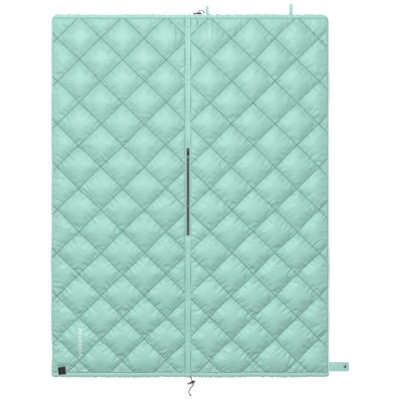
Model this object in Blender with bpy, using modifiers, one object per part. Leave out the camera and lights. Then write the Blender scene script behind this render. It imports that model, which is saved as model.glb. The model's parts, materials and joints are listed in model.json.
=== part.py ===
"""Quilted camp blanket with a head zip, drawcord hems, hang loops and a snap tab.

It lies flat with its front up: +X to its right, +Y to its top edge, +Z up, metres.
The origin is the centre of the underside. The left panel folds over the right one.
"""
import math

import bmesh
import bpy
from mathutils import Matrix, Vector

# ---------------------------------------------------------------- overall sizes
WIDTH = 1.33
HEIGHT = 1.73
LOFT = 0.024            # height of the quilted panels above the underside
GAP = 0.0003            # left between pieces that touch
TOP_CORNER_R = 0.038
BOTTOM_CORNER_R = 0.020

# fabric
SHELL_T = 0.0008
LINING_T = 0.0010
SKIRT_Z = 0.0060        # height of a panel's sewn rim
MARGIN = 0.031          # flat border along the outer edges of a panel
MARGIN_Z = 0.0080
SLOPE_RUN = 0.050       # from the border up to the full loft
FILL_CLEAR = 0.0006     # between the fill and its front and lining

# hems and side tapes
HEM_W = 0.020
HEM_Z = 0.0085
TAPE_W = 0.008
TAPE_Z = 0.0065

# centre strip and the fold line beside it
SEAM_X = -0.0095
STRIP_W = 0.025
STRIP_T = 0.0010
STRIP_LINING_T = 0.0013
FOLD_SIDE = 0.0015      # from the strip's left edge to the fold line
FOLD_Z = LOFT + 0.0015

# zip
SLIT_TOP = 0.226
SLIT_BOTTOM = -0.191
SLIT_HALF = 0.0078
SLIT_SPARE = 0.0010     # slit beyond the zip's stops at each end
SLIT_R = 0.0030
TAPE_ZIP_W = 0.0105     # width of one zip tape
TAPE_ZIP_T = 0.0008
TAPE_ZIP_Z = 0.0016     # underside of the tapes
COIL_W = 0.0027
COIL_H = 0.0024
COIL_GAP = 0.0014       # between the two coils, where the slider's post runs
STOP_L = 0.006
SLIDER_L = 0.013
PLATE_T = 0.0009
SLIDER_CLEAR = 0.0004
POST_W = 0.0007
BAIL_T = 0.0013
BAIL_L = 0.0068
FLANGE_T = 0.0010
PULL_EYE_L = 0.0065
PULL_RIM = 0.0012
SEWN_TAPE = 0.0080      # zip tape sewn in beyond each end of the slit
SLIDER_Y = 0.207
PULL_L = 0.030
PULL_W = 0.0075
PULL_T = 0.0014
PIN_R = 0.0007

# drawcords, locks and ends
CORD_D = 0.0025
CORD_Z = 0.0046
STRAND_GAP = 0.0004     # between the two strands of a tail
TOP_EXIT_X = 0.0417
BOTTOM_EXIT_X = 0.0034
BOTTOM_EXIT_TILT = math.radians(20.0)
EYELET_T = 0.0012
EYELET_RIM_W = 0.0019
EYELET_RIM_H = 0.0009
EYELET_CLEAR = 0.0009   # hole wider and higher than the two strands by this
TACK_L = 0.012
LOCK_L = 0.026
LOCK_T = 0.0080         # along the cord
LOCK_H = 0.0088
LOCK_END_T = 0.0016     # wall behind the spring
PLUNGER_R = 0.0028
PLUNGER_CLEAR = 0.0003
PLUNGER_NOSE = 0.0021   # solid end of the plunger beyond its cord way
PLUNGER_TRAVEL = 0.0040
PLUNGER_STEM = 0.0070   # stem that shows between body and head
HEAD_L = 0.0065
HEAD_R = 0.0038
SLOT_CLEAR = 0.0003
TOP_LOCK_OUT = 0.0050   # centre of the top lock beyond the hem
BOTTOM_LOCK_OUT = 0.0262
SPRING_WIRE = 0.0004
SPRING_TURNS = 4
CORD_END_L = 0.010
CORD_END_W = 0.0064
CORD_END_H = 0.0046

# trim
LOOP_W = 0.015
LOOP_T = 0.0010
LOOP_OPEN = 0.0056      # height of the loop's opening
LOOP_LEFT_X = 0.081
LOOP_LEFT_L = 0.040
LOOP_RIGHT_X = 0.481
LOOP_RIGHT_L = 0.050
TAB_W = 0.044
TAB_L = 0.094
TAB_T = 0.0020
TAB_UP = 0.049          # middle of the tab above the bottom edge
TAB_Z = 0.0020          # underside of the tab
SNAP_BACK = 0.019       # snap centre from the tab's end
CAP_R = 0.0075
CAP_H = 0.0020
SNAP_POST_R = 0.0025
HOLE_CLEAR = 0.0003     # between a snap's post and its hole
SOCKET_R = 0.0055
SOCKET_H = 0.0014
PATCH_SIZE = 0.036
PATCH_T = 0.0012
PATCH_TURN = math.radians(7.0)
PATCH_INSET_X = 0.0545  # patch centre from the side edge
PATCH_INSET_Y = 0.0295
STUD_R = 0.0050
STUD_H = 0.0016

# ---------------------------------------------------------------- worked out once
halfW = WIDTH / 2
halfH = HEIGHT / 2
panelX = halfW - TAPE_W             # side seam
panelY = halfH - HEM_W              # hem seam
stripLeft = SEAM_X - STRIP_W / 2
stripRight = SEAM_X + STRIP_W / 2
foldX = stripLeft - FOLD_SIDE
laceY = panelY + SHELL_T + 0.0055   # middle of the drawcord in its hem
tabY = TAB_UP - halfH
stripZ = TAPE_ZIP_Z + TAPE_ZIP_T + GAP
coilZ = TAPE_ZIP_Z + TAPE_ZIP_T + GAP
coilTop = coilZ + COIL_H
coilIn = COIL_GAP / 2
coilOut = coilIn + COIL_W
sliderHalfW = coilOut + SLIDER_CLEAR + FLANGE_T
strandPitch = CORD_D + STRAND_GAP
eyeletHoleW = strandPitch + CORD_D + 2 * EYELET_CLEAR
eyeletHoleH = CORD_D + EYELET_CLEAR
eyeletW = eyeletHoleW + 2 * EYELET_RIM_W
eyeletH = eyeletHoleH + 2 * EYELET_RIM_H
lockBoreR = PLUNGER_R + PLUNGER_CLEAR
slitMid = (SLIT_TOP + SLIT_BOTTOM) / 2

for old in list(bpy.data.objects):
    bpy.data.objects.remove(old, do_unlink=True)

parts = bpy.data.collections.new("camp_blanket")
cutters = bpy.data.collections.new("cutters")
bpy.context.scene.collection.children.link(parts)
bpy.context.scene.collection.children.link(cutters)

LOOKS = {
    "mint": ((0.36, 0.67, 0.58), 0.55, 0.0),
    "lining": ((0.72, 0.70, 0.68), 0.7, 0.0),
    "fill": ((0.9, 0.9, 0.9), 0.95, 0.0),
    "tape": ((0.10, 0.11, 0.11), 0.8, 0.0),
    "coil": ((0.015, 0.015, 0.016), 0.45, 0.0),
    "metal": ((0.75, 0.75, 0.74), 0.3, 1.0),
    "cord": ((0.33, 0.33, 0.34), 0.85, 0.0),
    "plastic": ((0.02, 0.02, 0.02), 0.4, 0.0),
    "spring": ((0.6, 0.6, 0.6), 0.3, 1.0),
    "black_cloth": ((0.02, 0.02, 0.02), 0.8, 0.0),
}


def look(name):
    material = bpy.data.materials.get(name)
    if material is None:
        colour, roughness, metallic = LOOKS[name]
        material = bpy.data.materials.new(name)
        material.use_nodes = True
        shader = material.node_tree.nodes["Principled BSDF"]
        shader.inputs["Base Color"].default_value = (*colour, 1.0)
        shader.inputs["Roughness"].default_value = roughness
        shader.inputs["Metallic"].default_value = metallic
    return material


def keep(obj, finish):
    """Put a finished piece in the blanket's collection with its material."""
    for home in list(obj.users_collection):
        home.objects.unlink(obj)
    parts.objects.link(obj)
    obj.data.materials.clear()
    obj.data.materials.append(look(finish))
    return obj


def as_cutter(obj):
    for home in list(obj.users_collection):
        home.objects.unlink(obj)
    cutters.objects.link(obj)
    obj.hide_render = True
    obj.display_type = "WIRE"
    return obj


def cut(obj, cutter):
    boolean = obj.modifiers.new("cut", "BOOLEAN")
    boolean.operation = "DIFFERENCE"
    boolean.object = as_cutter(cutter)


def join(obj, extra):
    boolean = obj.modifiers.new("join", "BOOLEAN")
    boolean.operation = "UNION"
    boolean.object = as_cutter(extra)


def soften(obj, width, segments=1):
    bevel = obj.modifiers.new("edges", "BEVEL")
    bevel.width = width
    bevel.segments = segments
    bevel.limit_method = "ANGLE"


def box(name, low, high):
    """A box between two corners, with its scale applied."""
    bpy.ops.mesh.primitive_cube_add(size=1.0)
    obj = bpy.context.object
    obj.name = name
    size = Vector(high) - Vector(low)
    obj.data.transform(Matrix.Diagonal((*size, 1.0)))
    obj.location = (Vector(high) + Vector(low)) / 2
    return obj


def rod(name, radius, start, end, sides=24):
    """A cylinder from one point to another."""
    along = Vector(end) - Vector(start)
    bpy.ops.mesh.primitive_cylinder_add(radius=radius, depth=along.length, vertices=sides)
    obj = bpy.context.object
    obj.name = name
    obj.data.transform(along.to_track_quat("Z", "Y").to_matrix().to_4x4())
    obj.location = (Vector(end) + Vector(start)) / 2
    return obj


def turned(name, profile, steps=24):
    """A solid turned about Z from (radius, height) points, from the bottom up."""
    mesh = bpy.data.meshes.new(name)
    points = [(radius, 0.0, height) for radius, height in reversed(profile)]
    mesh.from_pydata(points, [(i, i + 1) for i in range(len(points) - 1)], [])
    obj = bpy.data.objects.new(name, mesh)
    parts.objects.link(obj)
    screw = obj.modifiers.new("turn", "SCREW")
    screw.steps = steps
    screw.render_steps = steps
    screw.use_merge_vertices = True
    screw.merge_threshold = 0.00001
    return obj


def outline(name, rings, low, high):
    """A flat outline, its first ring of (x, y) points outside, extruded between two heights."""
    curve = bpy.data.curves.new(name, "CURVE")
    curve.dimensions = "2D"
    curve.fill_mode = "BOTH"
    curve.extrude = (high - low) / 2
    for points in rings:
        spline = curve.splines.new("POLY")
        spline.points.add(len(points) - 1)
        for point, (x, y) in zip(spline.points, points):
            point.co = (x, y, 0.0, 1.0)
        spline.use_cyclic_u = True
    flat = bpy.data.objects.new(name + "_curve", curve)
    flat.location.z = (low + high) / 2
    parts.objects.link(flat)
    return meshed(flat, name)


def meshed(obj, name):
    """Turn a curve object into a mesh object with its loose caps welded."""
    bpy.context.view_layer.update()
    evaluated = obj.evaluated_get(bpy.context.evaluated_depsgraph_get())
    mesh = bpy.data.meshes.new_from_object(evaluated)
    work = bmesh.new()
    work.from_mesh(mesh)
    bmesh.ops.remove_doubles(work, verts=work.verts, dist=0.00001)
    work.to_mesh(mesh)
    work.free()
    solid = bpy.data.objects.new(name, mesh)
    solid.matrix_world = obj.matrix_world.copy()
    parts.objects.link(solid)
    bpy.data.objects.remove(obj, do_unlink=True)
    return solid


def smooth_route(points, step):
    """Points on a smooth curve through the route's own points, about one step apart."""
    route = [Vector(p) for p in points]
    padded = [2 * route[0] - route[1]] + route + [2 * route[-1] - route[-2]]
    found = [route[0]]
    for i in range(1, len(padded) - 2):
        before, start, end, after = padded[i - 1:i + 3]
        spans = [max((b - a).length, 1e-6) ** 0.5 for a, b in
                 ((before, start), (start, end), (end, after))]
        leave = (start - before) / spans[0] - (end - before) / (spans[0] + spans[1])
        leave = (leave + (end - start) / spans[1]) * spans[1]
        arrive = (end - start) / spans[1] - (after - start) / (spans[1] + spans[2])
        arrive = (arrive + (after - end) / spans[2]) * spans[1]
        straight = leave.angle(arrive, 0.0) < 0.02
        count = 1 if straight else max(1, round((end - start).length / step))
        for k in range(1, count + 1):
            t = k / count
            found.append(
                start * (2 * t**3 - 3 * t**2 + 1) + leave * (t**3 - 2 * t**2 + t)
                + end * (3 * t**2 - 2 * t**3) + arrive * (t**3 - t**2)
            )
    return found


def tube(name, points, diameter):
    curve = bpy.data.curves.new(name, "CURVE")
    curve.dimensions = "3D"
    curve.bevel_depth = diameter / 2
    curve.bevel_resolution = 2
    curve.use_fill_caps = True
    spline = curve.splines.new("POLY")
    spline.points.add(len(points) - 1)
    for point, place in zip(spline.points, points):
        point.co = (*place, 1.0)
    obj = bpy.data.objects.new(name, curve)
    parts.objects.link(obj)
    return obj


def axis_empty(name, place):
    """An empty on a joint's axis, which the moving pieces hang from."""
    empty = bpy.data.objects.new(name, None)
    empty.empty_display_size = 0.02
    empty.location = place
    parts.objects.link(empty)
    bpy.context.view_layer.update()
    return empty


def hang_from(empty, *pieces):
    for piece in pieces:
        piece.parent = empty
        piece.matrix_parent_inverse = empty.matrix_world.inverted()


def corner_arc(x_sign, y_sign, radius, low_y, high_y, steps=8):
    """Points of a rounded blanket corner between two |y| values, from the side upwards."""
    centre_x = halfW - radius
    centre_y = halfH - radius
    first = math.asin(min(1.0, max(0.0, (low_y - centre_y) / radius)))
    last = math.asin(min(1.0, max(0.0, (high_y - centre_y) / radius)))
    found = []
    for i in range(steps + 1):
        turn = first + (last - first) * i / steps
        x = centre_x + radius * math.cos(turn)
        y = centre_y + radius * math.sin(turn)
        found.append((x_sign * x, y_sign * y))
    return found


# ---------------------------------------------------------------- quilted panels
fold = axis_empty("fold_axis", (foldX, 0.0, FOLD_Z))
SIDES = {
    # name: (inner edge, outer edge), both in x
    "left": (foldX - GAP, -panelX + GAP),
    "right": (stripRight + GAP, panelX - GAP),
}


def panel_rings(inner, outer, inset):
    """Rectangles of a padded panel, rim to crest, each as x0, x1, y0, y1, z."""
    y = panelY - GAP
    levels = [
        (0.0, 0.0, LINING_T + GAP),
        (0.0, 0.0, SKIRT_Z),
        (0.004, MARGIN, MARGIN_Z),
        (SLOPE_RUN, MARGIN + SLOPE_RUN, LOFT),
    ]
    out = 1 if outer > inner else -1
    rings = []
    for inner_in, outer_in, z in levels:
        x0 = inner + out * (inner_in + inset)
        x1 = outer - out * (outer_in + inset)
        top = y - outer_in - inset
        rings.append((min(x0, x1), max(x0, x1), -top, top, z))
    return rings


def ring_mesh(name, rings, closed_below):
    """A loft through the rectangles, with a top face and, if asked, a bottom one."""
    work = bmesh.new()
    rows = []
    for x0, x1, y0, y1, z in rings:
        corners = ((x0, y0), (x1, y0), (x1, y1), (x0, y1))
        rows.append([work.verts.new((x, y, z)) for x, y in corners])
    for below, above in zip(rows, rows[1:]):
        for i in range(4):
            j = (i + 1) % 4
            work.faces.new((below[i], below[j], above[j], above[i]))
    work.faces.new(rows[-1])
    if closed_below:
        work.faces.new(list(reversed(rows[0])))
    mesh = bpy.data.meshes.new(name)
    work.to_mesh(mesh)
    work.free()
    obj = bpy.data.objects.new(name, mesh)
    parts.objects.link(obj)
    return obj


for side, (inner, outer) in SIDES.items():
    rings = panel_rings(inner, outer, 0.0)
    front = keep(ring_mesh("front_" + side, rings, False), "mint")
    solidify = front.modifiers.new("cloth", "SOLIDIFY")
    solidify.thickness = SHELL_T
    solidify.offset = -1.0
    solidify.use_even_offset = True

    inset = SHELL_T + FILL_CLEAR
    filled = panel_rings(inner, outer, inset)
    drops = (0.0, inset * 1.2, inset * 1.1, inset)
    filled = [(x0, x1, y0, y1, z - drop) for (x0, x1, y0, y1, z), drop in zip(filled, drops)]
    fill = keep(ring_mesh("fill_" + side, filled, True), "fill")

    y = panelY - GAP
    lining = keep(
        box("lining_" + side, (min(inner, outer), -y, 0.0), (max(inner, outer), y, LINING_T)), "lining"
    )
    if side == "left":
        hang_from(fold, front, fill, lining)

# ---------------------------------------------------------------- side tapes
for side, sign in (("left", -1), ("right", 1)):
    y = panelY - GAP
    rim = corner_arc(sign, -1, BOTTOM_CORNER_R, 0.0, y)
    rim = list(reversed(rim)) + corner_arc(sign, 1, TOP_CORNER_R, 0.0, y)
    points = [(sign * panelX, -y)] + rim + [(sign * panelX, y)]
    tape = keep(outline("edge_tape_" + side, [points], 0.0, TAPE_Z), "lining")
    if side == "left":
        hang_from(fold, tape)

# ---------------------------------------------------------------- hems
bottomDown = Vector((math.sin(BOTTOM_EXIT_TILT), -math.cos(BOTTOM_EXIT_TILT), 0.0))
bottomAcross = Vector((math.cos(BOTTOM_EXIT_TILT), math.sin(BOTTOM_EXIT_TILT), 0.0))
EXITS = {
    # name: (hole at the hem's edge, way out, way across towards +X)
    "top": (Vector((TOP_EXIT_X, halfH, CORD_Z)), Vector((0, 1, 0)), Vector((1, 0, 0))),
    "bottom": (Vector((BOTTOM_EXIT_X, -halfH, CORD_Z)), bottomDown, bottomAcross),
}
HEM_ENDS = {"left": foldX - GAP, "right": foldX + GAP}


def eyelet_slot(name, width, height, depth, y_sign, x):
    """A long round-ended hole or ring blank through the hem's outer wall."""
    reach = (width - height) / 2
    y = y_sign * halfH
    ends = []
    for sign in (-1, 1):
        end_x = x + sign * reach
        ends.append(rod(name, height / 2, (end_x, y - depth, CORD_Z), (end_x, y + depth, CORD_Z)))
    middle = box(
        name + "_mid",
        (x - reach, y - depth, CORD_Z - height / 2),
        (x + reach, y + depth, CORD_Z + height / 2),
    )
    join(ends[0], ends[1])
    join(ends[0], middle)
    return ends[0]


for edge, y_sign, radius in (("top", 1, TOP_CORNER_R), ("bottom", -1, BOTTOM_CORNER_R)):
    for side, sign in (("left", -1), ("right", 1)):
        end = HEM_ENDS[side]
        arc = corner_arc(sign, y_sign, radius, panelY, halfH)
        points = [(end, y_sign * panelY)] + arc + [(end, y_sign * halfH)]
        hem = keep(outline(f"hem_{edge}_{side}", [points], 0.0, HEM_Z), "mint")
        low_y = panelY + SHELL_T
        high_y = halfH - SHELL_T
        far = sign * (halfW - radius)
        near = end - sign * 0.01
        channel = box(
            f"channel_{edge}_{side}",
            (min(near, far), min(y_sign * low_y, y_sign * high_y), SHELL_T),
            (max(near, far), max(y_sign * low_y, y_sign * high_y), HEM_Z - SHELL_T),
        )
        cut(hem, channel)
        if side == "right":
            hole_x = EXITS[edge][0].x
            blank_w = eyeletW + 2 * GAP
            blank_h = eyeletH + 2 * GAP
            cut(hem, eyelet_slot("hole_" + edge, blank_w, blank_h, EYELET_T, y_sign, hole_x))
        else:
            hang_from(fold, hem)

    hole_x = EXITS[edge][0].x
    ring = eyelet_slot("cord_eyelet_" + edge, eyeletW, eyeletH, EYELET_T / 2, y_sign, hole_x)
    cut(ring, eyelet_slot("eyelet_hole_" + edge, eyeletHoleW, eyeletHoleH, EYELET_T, y_sign, hole_x))
    keep(ring, "plastic")

# ---------------------------------------------------------------- drawcords in the hems
BEND_R = 0.0080
INSIDE = 0.0015         # from the hem's edge back to where a run meets its tail


def bent_run(start, corner, end, radius, steps=6):
    """A route that turns one corner in an arc."""
    go_in = (corner - start).normalized()
    go_out = (end - corner).normalized()
    turn = go_in.angle(go_out)
    reach = radius * math.tan(turn / 2)
    side = (go_out - go_in * go_in.dot(go_out)).normalized()
    centre = corner - go_in * reach + side * radius
    arc = [centre - side * radius * math.cos(turn * k / steps) + go_in * radius * math.sin(turn * k / steps)
           for k in range(steps + 1)]
    return [start] + arc + [end]


for edge, y_sign, radius in (("top", 1, TOP_CORNER_R), ("bottom", -1, BOTTOM_CORNER_R)):
    hole, out, across = EXITS[edge]
    lace_y = y_sign * laceY
    tack_x = halfW - radius - GAP
    cord_start = tack_x - TACK_L - GAP
    for side, sign in (("left", -1), ("right", 1)):
        tack = box(
            f"bartack_{edge}_{side}",
            (min(sign * tack_x, sign * (tack_x - TACK_L)), lace_y - CORD_D, SHELL_T + GAP),
            (max(sign * tack_x, sign * (tack_x - TACK_L)), lace_y + CORD_D, HEM_Z - SHELL_T - GAP),
        )
        keep(tack, "cord")
        soften(tack, 0.0006)
        if side == "left":
            hang_from(fold, tack)

    outer = [Vector((-cord_start, lace_y, CORD_Z)), Vector((foldX - GAP, lace_y, CORD_Z))]
    hang_from(fold, keep(tube(f"drawcord_{edge}_left", outer, CORD_D), "cord"))
    for piece, start_x, strand in (("middle", foldX + GAP, -1), ("right", cord_start, 1)):
        end = hole + across * (strand * strandPitch / 2) - out * INSIDE
        corner = end - out * ((end.y - lace_y) / out.y)
        start = Vector((start_x, lace_y, CORD_Z))
        keep(tube(f"drawcord_{edge}_{piece}", bent_run(start, corner, end, BEND_R), CORD_D), "cord")

# ---------------------------------------------------------------- free tails and their ends
CORD_STEP = 0.0050
# centrelines of the two tails, from inside the hem to the cord end: x, distance out from the hem, z
TAIL_ROUTES = {
    "top": [
        (0.0417, -0.0012, 0.0046), (0.0417, 0.0050, 0.0046), (0.0417, 0.0130, 0.0046),
        (0.0426, 0.0164, 0.0044), (0.0451, 0.0189, 0.0040), (0.0485, 0.0198, 0.0033),
        (0.0515, 0.0198, 0.0023), (0.0545, 0.0198, 0.0016), (0.0580, 0.0192, 0.0014),
        (0.0614, 0.0171, 0.0017), (0.0636, 0.0140, 0.0022),
    ],
    "bottom": [
        (0.0030, -0.0011, 0.0046), (0.0080, 0.0126, 0.0046), (0.0143, 0.0301, 0.0046),
        (0.0154, 0.0342, 0.0043), (0.0149, 0.0387, 0.0036), (0.0128, 0.0426, 0.0027),
        (0.0091, 0.0467, 0.0018), (0.0044, 0.0520, 0.0014), (0.0001, 0.0580, 0.0014),
        (-0.0036, 0.0645, 0.0014), (-0.0055, 0.0702, 0.0014), (-0.0058, 0.0753, 0.0014),
        (-0.0042, 0.0800, 0.0017), (-0.0008, 0.0835, 0.0022),
    ],
}


def beside(points, offset):
    """The same route, moved sideways in plan."""
    moved = []
    for i, point in enumerate(points):
        ahead = points[min(i + 1, len(points) - 1)] - points[max(i - 1, 0)]
        normal = Vector((-ahead.y, ahead.x, 0.0)).normalized()
        moved.append(point + normal * offset)
    return moved


for edge, y_sign in (("top", 1), ("bottom", -1)):
    middle = smooth_route([(x, y_sign * (halfH + out), z) for x, out, z in TAIL_ROUTES[edge]], CORD_STEP)
    for strand, side in (("a", 1), ("b", -1)):
        keep(tube(f"tail_{edge}_{strand}", beside(middle, side * strandPitch / 2), CORD_D), "cord")
    heading = middle[-1] - middle[-2]
    heading.z = 0.0
    heading.normalize()
    end = box(
        "cord_end_" + edge,
        (GAP, -CORD_END_W / 2, -CORD_END_H / 2),
        (GAP + CORD_END_L, CORD_END_W / 2, CORD_END_H / 2),
    )
    end.data.transform(Matrix.Translation(end.location))
    end.location = (middle[-1].x, middle[-1].y, CORD_END_H / 2 + GAP)
    end.rotation_euler.z = math.atan2(heading.y, heading.x)
    keep(end, "plastic")
    soften(end, 0.0012, 2)

# ---------------------------------------------------------------- spring cord locks
slotW = strandPitch + CORD_D + 2 * SLOT_CLEAR
slotH = CORD_D + 2 * SLOT_CLEAR
plungerEnd = slotW / 2 + PLUNGER_NOSE
boreEnd = LOCK_L / 2 - LOCK_END_T


def seat(empty, *pieces):
    """Place pieces that were modelled about the lock's own centre."""
    for piece in pieces:
        piece.parent = empty


for edge, out_by in (("top", TOP_LOCK_OUT), ("bottom", BOTTOM_LOCK_OUT)):
    hole, out, across = EXITS[edge]
    lock = axis_empty(f"lock_{edge}_axis", hole + out * out_by)
    lock.rotation_euler.z = math.atan2(across.y, across.x)

    body = box(
        "lock_body_" + edge, (-LOCK_L / 2, -LOCK_T / 2, -LOCK_H / 2), (LOCK_L / 2, LOCK_T / 2, LOCK_H / 2)
    )
    keep(body, "plastic")
    soften(body, 0.0008)
    bore = rod("bore_" + edge, lockBoreR, (-LOCK_L, 0, 0), (boreEnd, 0, 0))
    through = box("cord_way_" + edge, (-slotW / 2, -LOCK_T, -slotH / 2), (slotW / 2, LOCK_T, slotH / 2))
    cut(body, bore)
    cut(body, through)

    head_end = -LOCK_L / 2 - PLUNGER_STEM
    plunger = rod("lock_plunger_" + edge, PLUNGER_R, (head_end - HEAD_L / 2, 0, 0), (plungerEnd, 0, 0))
    head = rod("head_" + edge, HEAD_R, (head_end - HEAD_L, 0, 0), (head_end, 0, 0))
    soften(head, 0.0010, 2)
    keep(plunger, "plastic")
    join(plunger, head)
    clamp_way = box(
        "clamp_way_" + edge,
        (-slotW / 2 - PLUNGER_TRAVEL, -LOCK_T, -slotH / 2),
        (slotW / 2, LOCK_T, slotH / 2),
    )
    cut(plunger, clamp_way)

    coil_r = PLUNGER_R - SPRING_WIRE
    first = plungerEnd + GAP + SPRING_WIRE / 2
    last = boreEnd - GAP - SPRING_WIRE / 2
    turns = [k / 10 for k in range(10 * SPRING_TURNS + 1)]
    wire = [
        Vector((first + (last - first) * t / SPRING_TURNS, coil_r * math.cos(math.tau * t),
                coil_r * math.sin(math.tau * t)))
        for t in turns
    ]
    spring = keep(tube("lock_spring_" + edge, wire, SPRING_WIRE), "spring")
    seat(lock, body, bore, through, plunger, head, clamp_way, spring)

# ---------------------------------------------------------------- centre strip
def slit_ring(half, steps=4):
    """The zip slit's outline with rounded corners, a little longer than the zip."""
    centres = ((1, SLIT_TOP + SLIT_SPARE), (-1, SLIT_TOP + SLIT_SPARE),
               (-1, SLIT_BOTTOM - SLIT_SPARE), (1, SLIT_BOTTOM - SLIT_SPARE))
    points = []
    for quarter, (x_sign, y) in enumerate(centres):
        inner_y = y - SLIT_R if y > slitMid else y + SLIT_R
        for k in range(steps + 1):
            turn = math.pi / 2 * (quarter + k / steps)
            x = SEAM_X + x_sign * (half - SLIT_R) + SLIT_R * math.cos(turn)
            points.append((x, inner_y + SLIT_R * math.sin(turn)))
    return points


stripY = panelY - GAP
stripPlan = [(stripLeft, -stripY), (stripRight, -stripY), (stripRight, stripY), (stripLeft, stripY)]
keep(outline("centre_strip", [stripPlan, slit_ring(SLIT_HALF)], stripZ, stripZ + STRIP_T), "mint")
keep(outline("centre_lining", [stripPlan, slit_ring(SLIT_HALF)], 0.0, STRIP_LINING_T), "lining")

# ---------------------------------------------------------------- zip
for side, sign in (("left", -1), ("right", 1)):
    edge_in = SEAM_X + sign * (coilIn + GAP)
    edge_out = SEAM_X + sign * (coilIn + TAPE_ZIP_W)
    low = (min(edge_in, edge_out), SLIT_BOTTOM - SEWN_TAPE, TAPE_ZIP_Z)
    high = (max(edge_in, edge_out), SLIT_TOP + SEWN_TAPE, TAPE_ZIP_Z + TAPE_ZIP_T)
    keep(box("zip_tape_" + side, low, high), "tape")

    coil_y = (SLIT_BOTTOM + STOP_L + GAP, SLIT_TOP - STOP_L - GAP)
    coil_x = (SEAM_X + sign * coilIn, SEAM_X + sign * coilOut)
    coil = box("zip_coil_" + side, (min(coil_x), coil_y[0], coilZ), (max(coil_x), coil_y[1], coilTop))
    keep(coil, "coil")
    soften(coil, COIL_H / 4)

for place, y in (("top", SLIT_TOP - STOP_L), ("bottom", SLIT_BOTTOM)):
    stop = box(f"zip_{place}_stop", (SEAM_X - coilOut, y, coilZ), (SEAM_X + coilOut, y + STOP_L, coilTop + GAP))
    keep(stop, "metal")
    soften(stop, 0.0005)

plateLow = coilTop + SLIDER_CLEAR
plateTop = plateLow + PLATE_T
underTop = TAPE_ZIP_Z - SLIDER_CLEAR
flangeIn = coilOut + SLIDER_CLEAR
slider_y = (SLIDER_Y - SLIDER_L / 2, SLIDER_Y + SLIDER_L / 2)


def shield(half, nose):
    """The slider's plan: a rounded nose at its upper end and a narrower tail."""
    points = [(SEAM_X - half * 0.86, slider_y[0]), (SEAM_X + half * 0.86, slider_y[0])]
    points += [(SEAM_X + half, slider_y[0] + SLIDER_L * 0.45), (SEAM_X + half, slider_y[1] - nose)]
    points += [(SEAM_X + half * 0.55, slider_y[1]), (SEAM_X - half * 0.55, slider_y[1])]
    points += [(SEAM_X - half, slider_y[1] - nose), (SEAM_X - half, slider_y[0] + SLIDER_L * 0.45)]
    return points


slider = keep(outline("zip_slider", [shield(sliderHalfW, 0.003)], plateLow, plateTop), "metal")
bottom_plate = outline("slider_under", [shield(sliderHalfW, 0.003)], underTop - PLATE_T, underTop)
join(slider, bottom_plate)
post = box(
    "slider_post",
    (SEAM_X - POST_W / 2, slider_y[1] - 0.0035, underTop - PLATE_T / 2),
    (SEAM_X + POST_W / 2, slider_y[1] - 0.0010, plateLow + PLATE_T / 2),
)
join(slider, post)
for sign in (-1, 1):
    flange_x = (SEAM_X + sign * flangeIn, SEAM_X + sign * (sliderHalfW - FLANGE_T / 5))
    flange = box(
        f"slider_flange_{sign}",
        (min(flange_x), slider_y[0] + 0.0035, TAPE_ZIP_Z + TAPE_ZIP_T + SLIDER_CLEAR),
        (max(flange_x), slider_y[1] - 0.0035, plateLow + PLATE_T / 2),
    )
    join(slider, flange)

pinZ = plateTop + SLIDER_CLEAR + PIN_R
bailHalf = BAIL_L / 2
bailTop = plateTop + 2 * SLIDER_CLEAR + 2 * PIN_R
bail = box(
    "slider_bail",
    (SEAM_X - BAIL_T * 0.85, SLIDER_Y - bailHalf, plateLow + PLATE_T / 2),
    (SEAM_X + BAIL_T * 0.85, SLIDER_Y + bailHalf, bailTop + BAIL_T),
)
soften(bail, 0.0005, 2)
bail_way = box(
    "bail_way",
    (SEAM_X - BAIL_T, SLIDER_Y - bailHalf + BAIL_T, plateTop),
    (SEAM_X + BAIL_T, SLIDER_Y + bailHalf - BAIL_T, bailTop),
)
join(slider, bail)
cut(slider, bail_way)

eyeLow = SLIDER_Y - PULL_EYE_L
pullLow = SLIDER_Y - PULL_L
halfPull = PULL_W / 2
waist = halfPull * 0.8
sink = PULL_T / 70      # the grip is a hair thinner than the pin it is joined to
pull = rod("zip_pull", PIN_R, (SEAM_X - halfPull, SLIDER_Y, pinZ), (SEAM_X + halfPull, SLIDER_Y, pinZ), 16)
keep(pull, "metal")
grip = outline(
    "pull_grip",
    [
        [
            (SEAM_X - halfPull, SLIDER_Y), (SEAM_X + halfPull, SLIDER_Y),
            (SEAM_X + halfPull, eyeLow), (SEAM_X + waist, eyeLow - halfPull),
            (SEAM_X + waist, pullLow + waist / 2), (SEAM_X + waist / 2, pullLow),
            (SEAM_X - waist / 2, pullLow), (SEAM_X - waist, pullLow + waist / 2),
            (SEAM_X - waist, eyeLow - halfPull), (SEAM_X - halfPull, eyeLow),
        ],
    ],
    pinZ - PULL_T / 2 + sink,
    pinZ + PULL_T / 2 - sink,
)
eye = box(
    "pull_eye",
    (SEAM_X - halfPull + PULL_RIM, eyeLow, pinZ - PULL_T),
    (SEAM_X + halfPull - PULL_RIM, SLIDER_Y + PIN_R * 2, pinZ + PULL_T),
)
cut(grip, eye)
join(pull, grip)

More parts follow.
